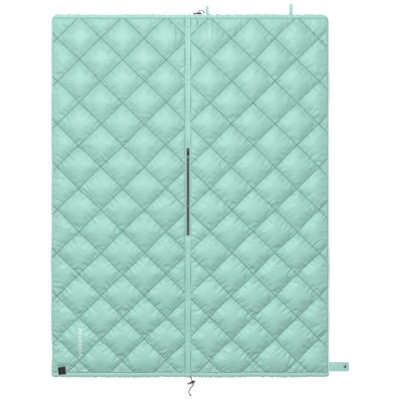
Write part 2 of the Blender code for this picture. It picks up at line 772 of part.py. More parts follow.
# ---------------------------------------------------------------- hang loops
for side, x, length in (("left", LOOP_LEFT_X, LOOP_LEFT_L), ("right", LOOP_RIGHT_X, LOOP_RIGHT_L)):
    height = LOOP_OPEN + 2 * LOOP_T

    def loop_ring(inset):
        """One round-ended ring of the loop's tape, drawn with its length along x."""
        radius = height / 2 - inset
        ring = [(inset, inset), (length - height / 2, inset)]
        for k in range(1, 8):
            turn = -math.pi / 2 + math.pi * k / 8
            ring.append((length - height / 2 + radius * math.cos(turn), height / 2 + radius * math.sin(turn)))
        return ring + [(length - height / 2, height - inset), (inset, height - inset)]

    loop = outline("hang_loop_" + side, [loop_ring(0.0), loop_ring(LOOP_T)], -LOOP_W / 2, LOOP_W / 2)
    keep(loop, "mint")
    loop.matrix_world = (
        Matrix.Translation((x, halfH + GAP, GAP))
        @ Matrix(((0, 0, 1, 0), (1, 0, 0, 0), (0, 1, 0, 0), (0, 0, 0, 1)))
    )
    root = axis_empty(f"hang_loop_{side}_axis", (x, halfH + LOOP_T, HEM_Z + LOOP_T))
    hang_from(root, loop)

# ---------------------------------------------------------------- snap tab
tabEnd = halfW + TAB_L
snapX = tabEnd - SNAP_BACK
tabTop = TAB_Z + TAB_T
tabRound = 0.008


def circle(x, y, radius, sides=24):
    return [(x + radius * math.cos(math.tau * k / sides), y + radius * math.sin(math.tau * k / sides))
            for k in range(sides)]


tabPlan = [(halfW + GAP, tabY + TAB_W / 2), (halfW + GAP, tabY - TAB_W / 2)]
for y_sign, first in ((-1, -math.pi / 2), (1, 0.0)):
    for k in range(5):
        turn = first + math.pi / 2 * k / 4
        tabPlan.append((
            tabEnd - tabRound + tabRound * math.cos(turn),
            tabY + y_sign * (TAB_W / 2 - tabRound) + tabRound * math.sin(turn),
        ))
tab = outline("snap_tab", [tabPlan, circle(snapX, tabY, SNAP_POST_R + HOLE_CLEAR)], TAB_Z, tabTop)
keep(tab, "mint")

postLow = -TAB_T - GAP - SOCKET_H
cap = turned(
    "tab_snap_cap",
    [(0.0, postLow), (SNAP_POST_R, postLow), (SNAP_POST_R, GAP), (CAP_R, GAP), (CAP_R, GAP + CAP_H * 0.4),
     (CAP_R * 0.82, GAP + CAP_H * 0.8), (CAP_R * 0.5, GAP + CAP_H), (0.0, GAP + CAP_H)],
)
cap.location = (snapX, tabY, tabTop)
keep(cap, "metal")
socket = outline(
    "tab_snap_socket",
    [circle(snapX, tabY, SOCKET_R), circle(snapX, tabY, SNAP_POST_R + HOLE_CLEAR)],
    TAB_Z - GAP - SOCKET_H,
    TAB_Z - GAP,
)
keep(socket, "metal")
tabRoot = axis_empty("snap_tab_axis", (halfW + 0.0012, tabY, TAPE_Z + 0.0010))
bpy.context.view_layer.update()
hang_from(tabRoot, tab, cap, socket)

# ---------------------------------------------------------------- corner patch
patchX = -(halfW - PATCH_INSET_X)
patchY = -(halfH - PATCH_INSET_Y)
patchZ = HEM_Z + GAP
half = PATCH_SIZE / 2
square = [(-half, -half), (half, -half), (half, half), (-half, half)]
turnCos = math.cos(PATCH_TURN)
turnSin = math.sin(PATCH_TURN)
patchPlan = [(patchX + x * turnCos - y * turnSin, patchY + x * turnSin + y * turnCos) for x, y in square]
studPost = 0.0016
patch = outline(
    "corner_patch", [patchPlan, circle(patchX, patchY, studPost + HOLE_CLEAR, 16)], patchZ, patchZ + PATCH_T
)
keep(patch, "black_cloth")
stud = turned(
    "patch_snap_stud",
    [(0.0, 0.0), (studPost, 0.0), (studPost, PATCH_T + GAP), (STUD_R, PATCH_T + GAP),
     (STUD_R, PATCH_T + GAP + STUD_H * 0.5), (STUD_R * 0.8, PATCH_T + GAP + STUD_H),
     (0.0, PATCH_T + GAP + STUD_H)],
)
stud.location = (patchX, patchY, patchZ)
keep(stud, "plastic")
bpy.context.view_layer.update()
hang_from(fold, patch, stud)
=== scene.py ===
# Quilted camp blanket, laid flat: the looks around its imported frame.
import json
import math

import bpy
import numpy as np
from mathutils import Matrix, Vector, noise

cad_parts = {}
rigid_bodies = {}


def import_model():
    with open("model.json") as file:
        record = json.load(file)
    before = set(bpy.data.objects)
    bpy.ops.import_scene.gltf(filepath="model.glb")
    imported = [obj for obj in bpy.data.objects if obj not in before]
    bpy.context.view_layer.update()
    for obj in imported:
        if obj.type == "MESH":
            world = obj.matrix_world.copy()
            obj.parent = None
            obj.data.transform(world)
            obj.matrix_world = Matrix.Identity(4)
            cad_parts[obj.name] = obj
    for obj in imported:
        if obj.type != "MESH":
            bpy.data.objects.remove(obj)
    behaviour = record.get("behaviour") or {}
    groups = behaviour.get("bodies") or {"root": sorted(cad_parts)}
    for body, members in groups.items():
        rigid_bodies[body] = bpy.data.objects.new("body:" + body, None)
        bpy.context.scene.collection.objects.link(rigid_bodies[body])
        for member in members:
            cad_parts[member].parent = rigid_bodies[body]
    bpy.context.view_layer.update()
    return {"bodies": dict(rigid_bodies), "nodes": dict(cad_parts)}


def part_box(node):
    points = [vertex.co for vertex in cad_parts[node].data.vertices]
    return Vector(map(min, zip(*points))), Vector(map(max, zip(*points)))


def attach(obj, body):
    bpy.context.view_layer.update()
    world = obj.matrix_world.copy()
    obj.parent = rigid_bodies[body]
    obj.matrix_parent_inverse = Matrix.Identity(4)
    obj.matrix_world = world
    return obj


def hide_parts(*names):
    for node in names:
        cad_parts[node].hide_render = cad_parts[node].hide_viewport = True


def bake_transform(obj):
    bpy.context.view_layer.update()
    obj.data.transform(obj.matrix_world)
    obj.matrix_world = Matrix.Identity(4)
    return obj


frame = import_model()
print("frame loaded:", len(frame["nodes"]), "nodes")

nodeBody = {
    node: next(name for name, holder in frame["bodies"].items() if holder is thing.parent)
    for node, thing in frame["nodes"].items()
}
bodyHigh = Vector((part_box("edge_tape_right")[1].x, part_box("hem_top_right")[1].y, 0.0))
bodyLow = Vector((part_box("edge_tape_left")[0].x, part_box("hem_bottom_left")[0].y, 0.0))
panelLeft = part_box("front_left")
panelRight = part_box("front_right")
stripLow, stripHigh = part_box("centre_strip")
seamX = (stripLow.x + stripHigh.x) / 2


# camera, straight above
viewFrom = {"lens": 100.0, "sensor": 36.0, "across": 1.9064, "centre": (0.0477, -0.0214), "level": 0.012}

cameraData = bpy.data.cameras.new("camera")
camera = bpy.data.objects.new("camera", cameraData)
bpy.context.scene.collection.objects.link(camera)
cameraData.lens = viewFrom["lens"]
cameraData.sensor_width = viewFrom["sensor"]
cameraHigh = viewFrom["lens"] / viewFrom["sensor"] * viewFrom["across"]
camera.location = (*viewFrom["centre"], viewFrom["level"] + cameraHigh)
bpy.context.scene.camera = camera


# small tools
def pick(*things):
    bpy.ops.object.select_all(action="DESELECT")
    for thing in things:
        thing.select_set(True)
    bpy.context.view_layer.objects.active = things[0]


def places(piece):
    found = np.zeros(len(piece.data.vertices) * 3)
    piece.data.vertices.foreach_get("co", found)
    return found.reshape(-1, 3)


def putPlaces(piece, found):
    piece.data.vertices.foreach_set("co", np.ascontiguousarray(found).ravel())
    piece.data.update()


def addGrid(name, columns, rows):
    # a flat grid of columns by rows cells; its points come back row by row, as (row, column) shares from 0 to 1
    bpy.ops.object.select_all(action="DESELECT")
    bpy.ops.mesh.primitive_grid_add(x_subdivisions=columns, y_subdivisions=rows, size=1.0)
    piece = bpy.context.object
    piece.name = name
    shares = places(piece)[:, :2] + 0.5
    return piece, shares[:, 0], shares[:, 1]


def mergeDoubles(piece, within=0.00001):
    pick(piece)
    bpy.ops.object.mode_set(mode="EDIT")
    bpy.ops.mesh.select_all(action="SELECT")
    bpy.ops.mesh.remove_doubles(threshold=within)
    bpy.ops.mesh.normals_make_consistent(inside=False)
    bpy.ops.object.mode_set(mode="OBJECT")


def useModifier(piece, kind, **settings):
    pick(piece)
    modifier = piece.modifiers.new(kind.lower(), kind)
    for key, value in settings.items():
        setattr(modifier, key, value)
    bpy.ops.object.modifier_apply(modifier=modifier.name)


def smooth(piece, angle=None):
    pick(piece)
    if angle is None:
        bpy.ops.object.shade_smooth()
    else:
        bpy.ops.object.shade_smooth_by_angle(angle=math.radians(angle))


def markPoints(piece, name, values):
    layer = piece.data.attributes.new(name, "FLOAT", "POINT")
    layer.data.foreach_set("value", np.ascontiguousarray(values, dtype=np.float32))


def dress(piece, material, body=None, stands=()):
    piece.data.materials.clear()
    piece.data.materials.append(material)
    if body:
        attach(piece, body)
    if stands:
        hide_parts(*stands)
    return piece


def foldBlend(piece):
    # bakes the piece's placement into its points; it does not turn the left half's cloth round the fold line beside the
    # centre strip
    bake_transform(piece)


def hill(values, middle, width):
    return np.exp(-(((values - middle) / width) ** 2))


def drift(x, y, rough, seed):
    # smooth random numbers over the plan, about -1 to 1
    return np.array([noise.noise(Vector((p * rough, q * rough, seed))) for p, q in zip(x, y)]) * 1.8


still = [  # places where hardware is sewn on, where the outline keeps to its line
    (0.081, 0.865), (0.481, 0.865), (0.0417, 0.865), (0.0034, -0.865),
    (0.665, -0.816), (-0.6105, -0.8355),
]


def settle(found, reach=0.0030):
    # laid-out cloth is never quite straight: one slow drift moves everything sewn together alike
    x, y = found[:, 0].copy(), found[:, 1].copy()
    hold = np.clip(np.abs(x - seamX) / 0.12, 0, 1) ** 2
    holdY = np.ones(len(x))
    for px, py in still:
        near = 1 - np.exp(-((x - px) ** 2 + (y - py) ** 2) / 0.07**2)
        hold *= near
        holdY *= near
    found[:, 0] += reach * hold * drift(x, y, 4.6, 3.0)
    found[:, 1] += 0.7 * reach * hold * holdY * drift(x, y, 5.1, 21.0)
    return found


# materials: a socket that takes part in sums, and a finish that holds its nodes
class Wire:
    def __init__(self, finish, socket):
        self.finish = finish
        self.socket = socket

    def maths(self, operation, *others):
        return self.finish.add("ShaderNodeMath", {"operation": operation}, list(others))

    def __add__(self, other):
        return self.maths("ADD", self, other)

    def __radd__(self, other):
        return self.maths("ADD", other, self)

    def __sub__(self, other):
        return self.maths("SUBTRACT", self, other)

    def __rsub__(self, other):
        return self.maths("SUBTRACT", other, self)

    def __mul__(self, other):
        return self.maths("MULTIPLY", self, other)

    def __rmul__(self, other):
        return self.maths("MULTIPLY", other, self)

    def __truediv__(self, other):
        return self.maths("DIVIDE", self, other)

    def __abs__(self):
        return self.maths("ABSOLUTE", self)

    def below(self, other):
        return self.maths("LESS_THAN", self, other)

    def least(self, other):
        return self.maths("MINIMUM", self, other)

    def most(self, other):
        return self.maths("MAXIMUM", self, other)

    def sine(self):
        return self.maths("SINE", self)

    def part(self):
        return self.maths("FRACT", self)


class Finish:
    def __init__(self, name, **fixed):
        self.material = bpy.data.materials.new(name)
        self.material.use_nodes = True
        self.tree = self.material.node_tree
        self.shader = self.tree.nodes["Principled BSDF"]
        for socket, value in fixed.items():
            self.shader.inputs[socket.replace("_", " ")].default_value = value

    # any node: its type, its settings, then the values or links of its sockets, by name or in order
    def add(self, kind, settings=None, values=(), out=0):
        node = self.tree.nodes.new(kind)
        for key, value in (settings or {}).items():
            setattr(node, key, value)
        pairs = values.items() if isinstance(values, dict) else enumerate(values)
        for key, value in pairs:
            if isinstance(value, Wire):
                self.tree.links.new(value.socket, node.inputs[key])
            else:
                node.inputs[key].default_value = value
        return Wire(self, node.outputs[out])

    def here(self):
        return self.add("ShaderNodeTexCoord", out=3)

    def axes(self):
        at = self.here()
        return [self.add("ShaderNodeSeparateXYZ", None, [at], out=i) for i in range(3)]

    def marked(self, name):
        return self.add("ShaderNodeAttribute", {"attribute_name": name}, out=2)

    def noise(self, scale, detail=2.0, roughness=0.5, at=None):
        values = {"Vector": at or self.here(), "Scale": scale, "Detail": detail, "Roughness": roughness}
        return self.add("ShaderNodeTexNoise", None, values)

    def mix(self, share, first, second):
        return self.add("ShaderNodeMix", {"data_type": "RGBA"}, {0: share, 6: first, 7: second}, out=2)

    def bump(self, height, strength, distance, under=None):
        values = {"Height": height, "Strength": strength, "Distance": distance}
        if under is not None:
            values["Normal"] = under
        return self.add("ShaderNodeBump", None, values)

    def feed(self, **wires):
        for socket, wire in wires.items():
            self.tree.links.new(wire.socket, self.shader.inputs[socket.replace("_", " ")])
        return self.material


def rgb(red, green, blue):
    return tuple((v / 255) ** 2.2 for v in (red, green, blue)) + (1.0,)


def weave(finish, pitch):
    # plain weave: two sets of rounded threads that pass over each other in turn
    x, y, z = finish.axes()
    across = (x * (math.pi / pitch)).sine()
    up = (y * (math.pi / pitch)).sine()
    over = (across * up + 1.0) * 0.5
    return abs(across) * over + abs(up) * (1.0 - over)


def taffeta(name, light, dark, seamShade, mark=False):
    finish = Finish(name, Sheen_Weight=0.12, Sheen_Roughness=0.4, Specular_IOR_Level=0.45)
    x, y, z = finish.axes()
    cloud = finish.noise(5.0, 3.0, 0.55)
    crease = finish.noise(38.0, 3.0, 0.6)
    colour = finish.mix(cloud * 0.6 + crease * 0.4, rgb(*dark), rgb(*light))
    fromSeam = finish.marked("fromSeam")
    # painted shade: within 4.6 mm of each quilting seam the colour is pulled towards seamShade, the shade in the seam's
    # groove painted into the cloth
    seam = (1.0 - fromSeam / 0.0046).most(0.0)
    colour = finish.mix(seam * (0.40 + crease * 0.7), colour, rgb(*seamShade))
    if mark:
        # a small upright row of pale diamonds printed near the left edge
        row = ((y + mark["y"]) / mark["pitch"]).part() - 0.5
        reach = abs(x + mark["x"]) / mark["wide"] + abs(row) * mark["pitch"] / mark["high"]
        ends = abs(y + mark["y"]).below(mark["pitch"] * mark["count"] / 2)
        shown = reach.below(1.0) * ends * (1.0 - reach.below(0.45))
        colour = finish.mix(shown * 0.62, colour, rgb(226, 240, 236))
    threads = weave(finish, 0.00075)
    rip = ((x / 0.0052).part().below(0.10)).most((y / 0.0052).part().below(0.10))
    fine = finish.bump(threads + rip * 0.6, 0.16, 0.0004)
    # fine gathers run away from each seam, and fade towards the middle of the puff
    flat = finish.add("ShaderNodeUVMap", {"uv_map": "quilting"})
    a = finish.add("ShaderNodeSeparateXYZ", None, [flat], out=0)
    b = finish.add("ShaderNodeSeparateXYZ", None, [flat], out=1)
    gathers = 0
    for across, scale in ((a, (2.6, 21.0, 1.0)), (b, (21.0, 2.6, 1.0))):
        stretched = finish.add("ShaderNodeMapping", None, {"Vector": flat, "Scale": scale})
        streak = finish.noise(1.0, 2.0, 0.55, stretched)
        near = (1.0 - abs((across + 0.5).part() - 0.5) / 0.42).most(0.0)
        gathers = (streak - 0.5) * near + gathers
    gathered = finish.bump(gathers, 1.0, 0.0085, fine)
    creased = finish.bump(crease, 0.22, 0.004, gathered)
    rough = 0.40 + cloud * 0.16 + seam * 0.2
    return finish.feed(Base_Color=colour, Roughness=rough, Normal=creased)


def cordFinish(name, dark, light):
    finish = Finish(name, Sheen_Weight=0.25, Specular_IOR_Level=0.3)
    speck = finish.noise(900.0, 2.0, 0.6)
    colour = finish.mix(speck, rgb(*dark), rgb(*light))
    return finish.feed(
        Base_Color=colour, Roughness=0.62 + speck * 0.2, Normal=finish.bump(speck, 0.5, 0.0003)
    )


def mouldedFinish(name, colour, worn, rough=0.42):
    finish = Finish(name, Specular_IOR_Level=0.5)
    grain = finish.noise(1400.0, 3.0, 0.6)
    cloud = finish.noise(160.0, 2.0, 0.5)
    colour = finish.mix(cloud, rgb(*colour), rgb(*worn))
    return finish.feed(
        Base_Color=colour, Roughness=rough + grain * 0.14, Normal=finish.bump(grain, 0.22, 0.00015)
    )


def metalFinish(name, bright, dull, rough=0.26):
    finish = Finish(name)
    streak = finish.noise(700.0, 4.0, 0.65)
    cloud = finish.noise(120.0, 2.0, 0.5)
    colour = finish.mix(cloud, rgb(*bright), rgb(*dull))
    return finish.feed(
        Base_Color=colour, Roughness=rough + streak * 0.2, Metallic=0.92 + cloud * 0.08,
        Normal=finish.bump(streak, 0.18, 0.0001),
    )


def wovenFinish(name, dark, light, pitch, bumpy=0.5, sheen=0.2):
    finish = Finish(name, Sheen_Weight=sheen, Specular_IOR_Level=0.35)
    threads = weave(finish, pitch)
    cloud = finish.noise(90.0, 3.0, 0.6)
    colour = finish.mix(threads * 0.6 + cloud * 0.4, rgb(*dark), rgb(*light))
    return finish.feed(
        Base_Color=colour, Roughness=0.55 + cloud * 0.2, Normal=finish.bump(threads + cloud * 0.3, bumpy, pitch)
    )


printRow = {"x": 0.523, "y": 0.700, "wide": 0.0105, "high": 0.0086, "pitch": 0.0175, "count": 8}
# the third colour of each taffeta is painted shade along its quilting seams
shellLight, shellDark, shellSeamShade = (157, 204, 192), (141, 190, 177), (82, 136, 122)
mintFront = taffeta("mintTaffetaPrinted", shellLight, shellDark, shellSeamShade, printRow)
mintPlain = taffeta("mintTaffeta", shellLight, shellDark, shellSeamShade)
mintLining = taffeta("mintLining", (150, 196, 186), (136, 183, 172), (104, 150, 140))
mintTrim = wovenFinish("mintTrim", (136, 188, 174), (166, 214, 202), 0.0008, 0.35, 0.15)
paleBinding = wovenFinish("paleBinding", (170, 205, 196), (206, 230, 223), 0.0009, 0.5)
threadFinish = wovenFinish("mintThread", (104, 160, 146), (140, 194, 180), 0.0004, 0.3)
zipCloth = wovenFinish("zipTape", (24, 27, 29), (52, 56, 58), 0.0007, 0.6)
coilFinish = mouldedFinish("coilNylon", (20, 22, 24), (40, 43, 46), 0.3)
steel = metalFinish("zincSilver", (150, 154, 156), (112, 116, 120), 0.34)
gunmetal = metalFinish("gunmetal", (74, 76, 80), (48, 50, 54), 0.36)
springSteel = metalFinish("springSteel", (150, 152, 156), (120, 122, 128), 0.2)


pull = {"stemFrom": 0.1905, "sharpness": 900.0}  # the stem is dark above this y; below it the tip is painted bright, a painted highlight


def pullFinish():
    finish = Finish("pullMetal")
    x, y, z = finish.axes()
    streak = finish.noise(700.0, 4.0, 0.65)
    stem = ((y - pull["stemFrom"]) * pull["sharpness"]).most(0.0).least(1.0)
    # painted highlight: the tip below stemFrom is a brighter silver than the dark stem
    colour = finish.mix(stem, rgb(176, 180, 182), rgb(58, 60, 64))
    return finish.feed(
        Base_Color=colour, Roughness=0.30 + streak * 0.2, Metallic=0.9 + streak * 0.1,
        Normal=finish.bump(streak, 0.18, 0.0001),
    )


pullMetal = pullFinish()
greyCord = cordFinish("greyCord", (104, 108, 110), (150, 154, 156))
darkCord = cordFinish("darkCord", (70, 66, 62), (104, 98, 92))
blackPlastic = mouldedFinish("blackPlastic", (34, 33, 34), (52, 48, 46))
headPlastic = mouldedFinish("brownPlastic", (74, 54, 44), (92, 70, 58))
patchCloth = wovenFinish("patchCloth", (16, 17, 19), (38, 40, 43), 0.0011, 0.7)
patchThread = wovenFinish("patchThread", (22, 23, 25), (48, 50, 54), 0.0005, 0.6)
battingFinish = wovenFinish("batting", (226, 228, 226), (244, 244, 242), 0.002, 0.4)
print("materials made")


# the free cord tails, from inside the hems to their moulded ends
cordFacts = {
    "diameter": 0.0025, "pitch": 0.0029, "step": 0.0010, "around": 14, "braid": 0.06, "lay": 0.0034,
}
tailRoutes = {
    "top": [
        (0.0417, -0.0012, 0.0046), (0.0417, 0.0050, 0.0046), (0.0417, 0.0130, 0.0046),
        (0.0426, 0.0164, 0.0044), (0.0451, 0.0189, 0.0040), (0.0485, 0.0198, 0.0033),
        (0.0515, 0.0198, 0.0023), (0.0545, 0.0198, 0.0016), (0.0580, 0.0192, 0.0014),
        (0.0614, 0.0171, 0.0017), (0.0636, 0.0140, 0.0022),
    ],
    "bottom": [
        (0.0030, -0.0011, 0.0046), (0.0080, 0.0126, 0.0046), (0.0143, 0.0301, 0.0046),
        (0.0154, 0.0342, 0.0043), (0.0149, 0.0387, 0.0036), (0.0128, 0.0426, 0.0027),
        (0.0091, 0.0467, 0.0018), (0.0044, 0.0520, 0.0014), (0.0001, 0.0580, 0.0014),
        (-0.0036, 0.0645, 0.0014), (-0.0055, 0.0702, 0.0014), (-0.0058, 0.0753, 0.0014),
        (-0.0042, 0.0800, 0.0017), (-0.0008, 0.0835, 0.0022),
    ],
}


def through(points, step):
    # a smooth curve through the points, cut into even steps
    points = [Vector(p) for p in points]
    padded = [2 * points[0] - points[1]] + points + [2 * points[-1] - points[-2]]
    dense = []
    for a, b, c, d in zip(padded, padded[1:], padded[2:], padded[3:]):
        t1 = (b - a).length ** 0.5
        t2 = t1 + (c - b).length ** 0.5
        t3 = t2 + (d - c).length ** 0.5
        for k in range(24):
            t = t1 + (t2 - t1) * k / 24
            p = a.lerp(b, t / t1)
            q = b.lerp(c, (t - t1) / (t2 - t1))
            r = c.lerp(d, (t - t2) / (t3 - t2))
            s = p.lerp(q, t / t2)
            u = q.lerp(r, (t - t1) / (t3 - t1))
            dense.append(s.lerp(u, (t - t1) / (t2 - t1)))
    dense.append(points[-1])
    dense = np.array([tuple(p) for p in dense])
    far = np.concatenate([[0], np.cumsum(np.linalg.norm(np.diff(dense, axis=0), axis=1))])
    count = max(2, int(round(far[-1] / step)))
    at = np.linspace(0, far[-1], count + 1)
    return np.stack([np.interp(at, far, dense[:, i]) for i in range(3)], axis=1)


def tubeAlong(name, line, radius, around, ripple=None):
    # a closed tube of rings along a line, built from a grid rolled up
    count = len(line)
    tangent = np.gradient(line, axis=0)
    tangent /= np.linalg.norm(tangent, axis=1)[:, None]
    first = np.zeros_like(line)
    first[0] = np.cross(tangent[0], (0, 0, 1.0) if abs(tangent[0][2]) < 0.9 else (1.0, 0, 0))
    first[0] /= np.linalg.norm(first[0])
    for i in range(1, count):
        turned = first[i - 1] - tangent[i] * np.dot(first[i - 1], tangent[i])
        first[i] = turned / np.linalg.norm(turned)
    second = np.cross(tangent, first)
    piece, u, v = addGrid(name, around, count + 1)
    row = np.round(v * (count + 1)).astype(int)
    ring = np.clip(row - 1, 0, count - 1)
    closed = (row == 0) | (row == count + 1)
    angle = u * 2 * math.pi
    size = np.full(len(u), radius)
    if ripple is not None:
        size = size + ripple(angle, ring)
    size = np.where(closed, 0.0, size)
    found = line[ring] + size[:, None] * (first[ring] * np.cos(angle)[:, None] + second[ring] * np.sin(angle)[:, None])
    putPlaces(piece, found)
    mergeDoubles(piece, 0.000005)
    smooth(piece)
    return piece


hemEdge = {"top": bodyHigh.y, "bottom": -bodyLow.y}
tails = {}
for edge, sign in (("top", 1), ("bottom", -1)):
    middle = through([(x, sign * (hemEdge[edge] + out), z) for x, out, z in tailRoutes[edge]], cordFacts["step"])
    ahead = np.gradient(middle, axis=0)
    aside = np.stack([-ahead[:, 1], ahead[:, 0], np.zeros(len(middle))], axis=1)
    aside /= np.linalg.norm(aside, axis=1)[:, None]
    for strand, side in (("a", 1), ("b", -1)):
        line = middle + aside * side * cordFacts["pitch"] / 2

        def braid(angle, ring):
            run = ring * cordFacts["step"] * 2 * math.pi / cordFacts["lay"]
            return cordFacts["braid"] * cordFacts["diameter"] * (
                0.5 * np.cos(4 * angle + run) * np.cos(4 * angle - run) - 0.25
            )

        tail = tubeAlong(f"tail{edge.title()}{strand.upper()}", line, cordFacts["diameter"] / 2, cordFacts["around"], braid)
        dress(tail, greyCord if edge == "top" else darkCord, "right_half", [f"tail_{edge}_{strand}"])
        far = float(np.linalg.norm(np.diff(line, axis=0), axis=1).sum())
        tails[edge + strand] = (tail, line, far)
print("cord tails:", {key: round(value[2], 4) for key, value in tails.items()})


# hard pieces: the frame's own shapes, merged, with their edges rounded over
hardware = [
    # node, name, rounding, material, slot
    ("cord_end_top", "cordEndTop", 0.0007, blackPlastic, "black_plastic"),
    ("cord_end_bottom", "cordEndBottom", 0.0007, blackPlastic, "black_plastic"),
    ("lock_body_top", "lockBodyTop", 0.0005, blackPlastic, "black_plastic"),
    ("lock_body_bottom", "lockBodyBottom", 0.0005, blackPlastic, "black_plastic"),
    ("lock_plunger_top", "lockPlungerTop", 0.0005, headPlastic, "black_plastic"),
    ("lock_plunger_bottom", "lockPlungerBottom", 0.0005, blackPlastic, "black_plastic"),
    ("lock_spring_top", "lockSpringTop", 0.0, springSteel, "spring_steel"),
    ("lock_spring_bottom", "lockSpringBottom", 0.0, springSteel, "spring_steel"),
    ("cord_eyelet_top", "cordEyeletTop", 0.0003, springSteel, "zip_metal"),
    ("cord_eyelet_bottom", "cordEyeletBottom", 0.0003, springSteel, "zip_metal"),
    ("zip_slider", "zipSlider", 0.0003, gunmetal, "zip_metal"),
    ("zip_pull", "zipPull", 0.0004, pullMetal, "zip_metal"),
    ("zip_top_stop", "zipTopStop", 0.0005, gunmetal, "zip_metal"),
    ("zip_bottom_stop", "zipBottomStop", 0.0005, steel, "zip_metal"),
    ("tab_snap_cap", "tabSnapCap", 0.0004, steel, "zip_metal"),
    ("tab_snap_socket", "tabSnapSocket", 0.0003, steel, "zip_metal"),
    ("patch_snap_stud", "patchSnapStud", 0.0004, blackPlastic, "zip_metal"),
    ("hang_loop_left", "hangLoopLeft", 0.0003, mintTrim, "shell_fabric"),
    ("hang_loop_right", "hangLoopRight", 0.0003, mintTrim, "shell_fabric"),
    ("snap_tab", "snapTab", 0.0006, mintTrim, "shell_fabric"),
]


def finerCopy(node, name, rounding):
    source = frame["nodes"][node]
    piece = bpy.data.objects.new(name, source.data.copy())
    bpy.context.scene.collection.objects.link(piece)
    pick(piece)
    bpy.ops.object.mode_set(mode="EDIT")
    bpy.ops.mesh.select_all(action="SELECT")
    bpy.ops.mesh.remove_doubles(threshold=0.000004)
    bpy.ops.mesh.dissolve_limited(angle_limit=math.radians(1.5))
    bpy.ops.object.mode_set(mode="OBJECT")
    if rounding:
        useModifier(
            piece, "BEVEL", width=rounding, segments=3, limit_method="ANGLE",
            angle_limit=math.radians(32), use_clamp_overlap=True,
        )
    smooth(piece, 38)
    return piece


for node, name, rounding, material, slot in hardware:
    piece = finerCopy(node, name, rounding)
    dress(piece, material, nodeBody[node], [node])

for key, (tail, line, far) in tails.items():
    edge, strand = key[:-1], key[-1]
    # each strand runs through the lock, and the one on the inside carries the pieces on the cord; here a list of every
    # third point of each strand is made, and nothing uses it
    [tuple(p) for p in line[::3]] + [tuple(line[-1])]


# the quilting: where its seams run
quilt = {
    "across": 0.208,        # diamond width along x
    "along": 0.205,         # diamond height along y
    "crossing": -0.069,     # a crossing of the seams on the centre line, in y
    "steps": 32,            # cloth cells along one diamond side
    "side": 0.148,          # about the length of that side
    "seamZ": 0.0082,
    "edgeZ": 0.0068,
    "fullness": -0.034,     # how much larger the cloth is than the gap between its seams
    "gather": -0.085,
    "pressure": 6.0,
    "stiff": 30.0,
    "bend": 3.0,
    "crest": 0.0262,        # the puffs stop here
    "base": 0.0056,         # top of the lining, where the pad is closed
    "ridge": 0.0012,        # height of the folds it starts from
    "pucker": 0.0011,       # sharpness added to its folds
    "frames": 12,
}


def quiltShares(x, y):
    u = (x - seamX) / quilt["across"]
    v = (y - quilt["crossing"]) / quilt["along"]
    return u - v, u + v


def fromSeam(a, b):
    side = math.hypot(quilt["across"], quilt["along"]) / 2
    return np.minimum(np.abs(a - np.round(a)), np.abs(b - np.round(b))) * side


def seamHeight(x, y, low, high, seamZ, edgeZ):
    near = np.minimum.reduce([x - low.x, high.x - x, y - low.y, high.y - y])
    slope = np.clip(near / 0.045, 0, 1)
    return edgeZ + (seamZ - edgeZ) * slope * (2 - slope)


def biasGrid(name, low, high, steps):
    # a square grid turned onto the bias, so that every seam runs along its edges, cut to the panel
    corners = [quiltShares(x, y) for x in (low.x, high.x) for y in (low.y, high.y)]
    aLow, bLow = (math.floor(min(c[i] for c in corners)) for i in (0, 1))
    aHigh, bHigh = (math.ceil(max(c[i] for c in corners)) for i in (0, 1))
    cloth, s, t = addGrid(name, (aHigh - aLow) * steps, (bHigh - bLow) * steps)
    a, b = s * (aHigh - aLow) + aLow, t * (bHigh - bLow) + bLow
    x = seamX + (a + b) / 2 * quilt["across"]
    y = quilt["crossing"] + (b - a) / 2 * quilt["along"]
    putPlaces(cloth, np.stack([x, y, np.zeros(len(x))], axis=1))
    bpy.ops.object.mode_set(mode="EDIT")
    bpy.ops.mesh.select_mode(type="VERT")
    for place, normal in (
        ((low.x, 0, 0), (-1, 0, 0)), ((high.x, 0, 0), (1, 0, 0)),
        ((0, low.y, 0), (0, -1, 0)), ((0, high.y, 0), (0, 1, 0)),
    ):
        bpy.ops.mesh.select_all(action="SELECT")
        bpy.ops.mesh.bisect(plane_co=place, plane_no=normal, clear_outer=True)
    bpy.ops.mesh.select_all(action="SELECT")
    bpy.ops.mesh.remove_doubles(threshold=0.2 * quilt["side"] / steps)
    bpy.ops.object.mode_set(mode="OBJECT")
    found = places(cloth)
    for axis, edges in ((0, (low.x, high.x)), (1, (low.y, high.y))):
        for edge in edges:
            near = np.abs(found[:, axis] - edge) < 0.0009
            found[near, axis] = edge
    putPlaces(cloth, found)
    bpy.ops.object.mode_set(mode="EDIT")
    bpy.ops.mesh.select_all(action="SELECT")
    bpy.ops.mesh.dissolve_degenerate(threshold=0.0005)
    bpy.ops.object.mode_set(mode="OBJECT")
    return cloth


def simulate(cloth, push, fullness, gather, stiff, bend):
    # cloth simulation: held along its seams, fuller than the gap between them, pressed from inside
    pick(cloth)
    wind = cloth.modifiers.new("cloth", "CLOTH")
    sewing = wind.settings
    sewing.quality = 3
    sewing.mass = 0.002
    sewing.tension_stiffness = stiff
    sewing.compression_stiffness = stiff
    sewing.shear_stiffness = 3
    sewing.bending_stiffness = bend
    sewing.vertex_group_mass = "sewn"
    sewing.vertex_group_shrink = "gathered"
    sewing.shrink_min = fullness
    sewing.shrink_max = gather
    sewing.use_pressure = True
    sewing.uniform_pressure_force = push
    sewing.effector_weights.gravity = 0.0
    wind.collision_settings.use_collision = False
    wind.collision_settings.use_self_collision = False
    wind.point_cache.frame_start = 1
    wind.point_cache.frame_end = quilt["frames"]
    for step in range(1, quilt["frames"] + 1):
        bpy.context.scene.frame_set(step)
    bpy.ops.object.modifier_apply(modifier=wind.name)
    bpy.context.scene.frame_set(1)


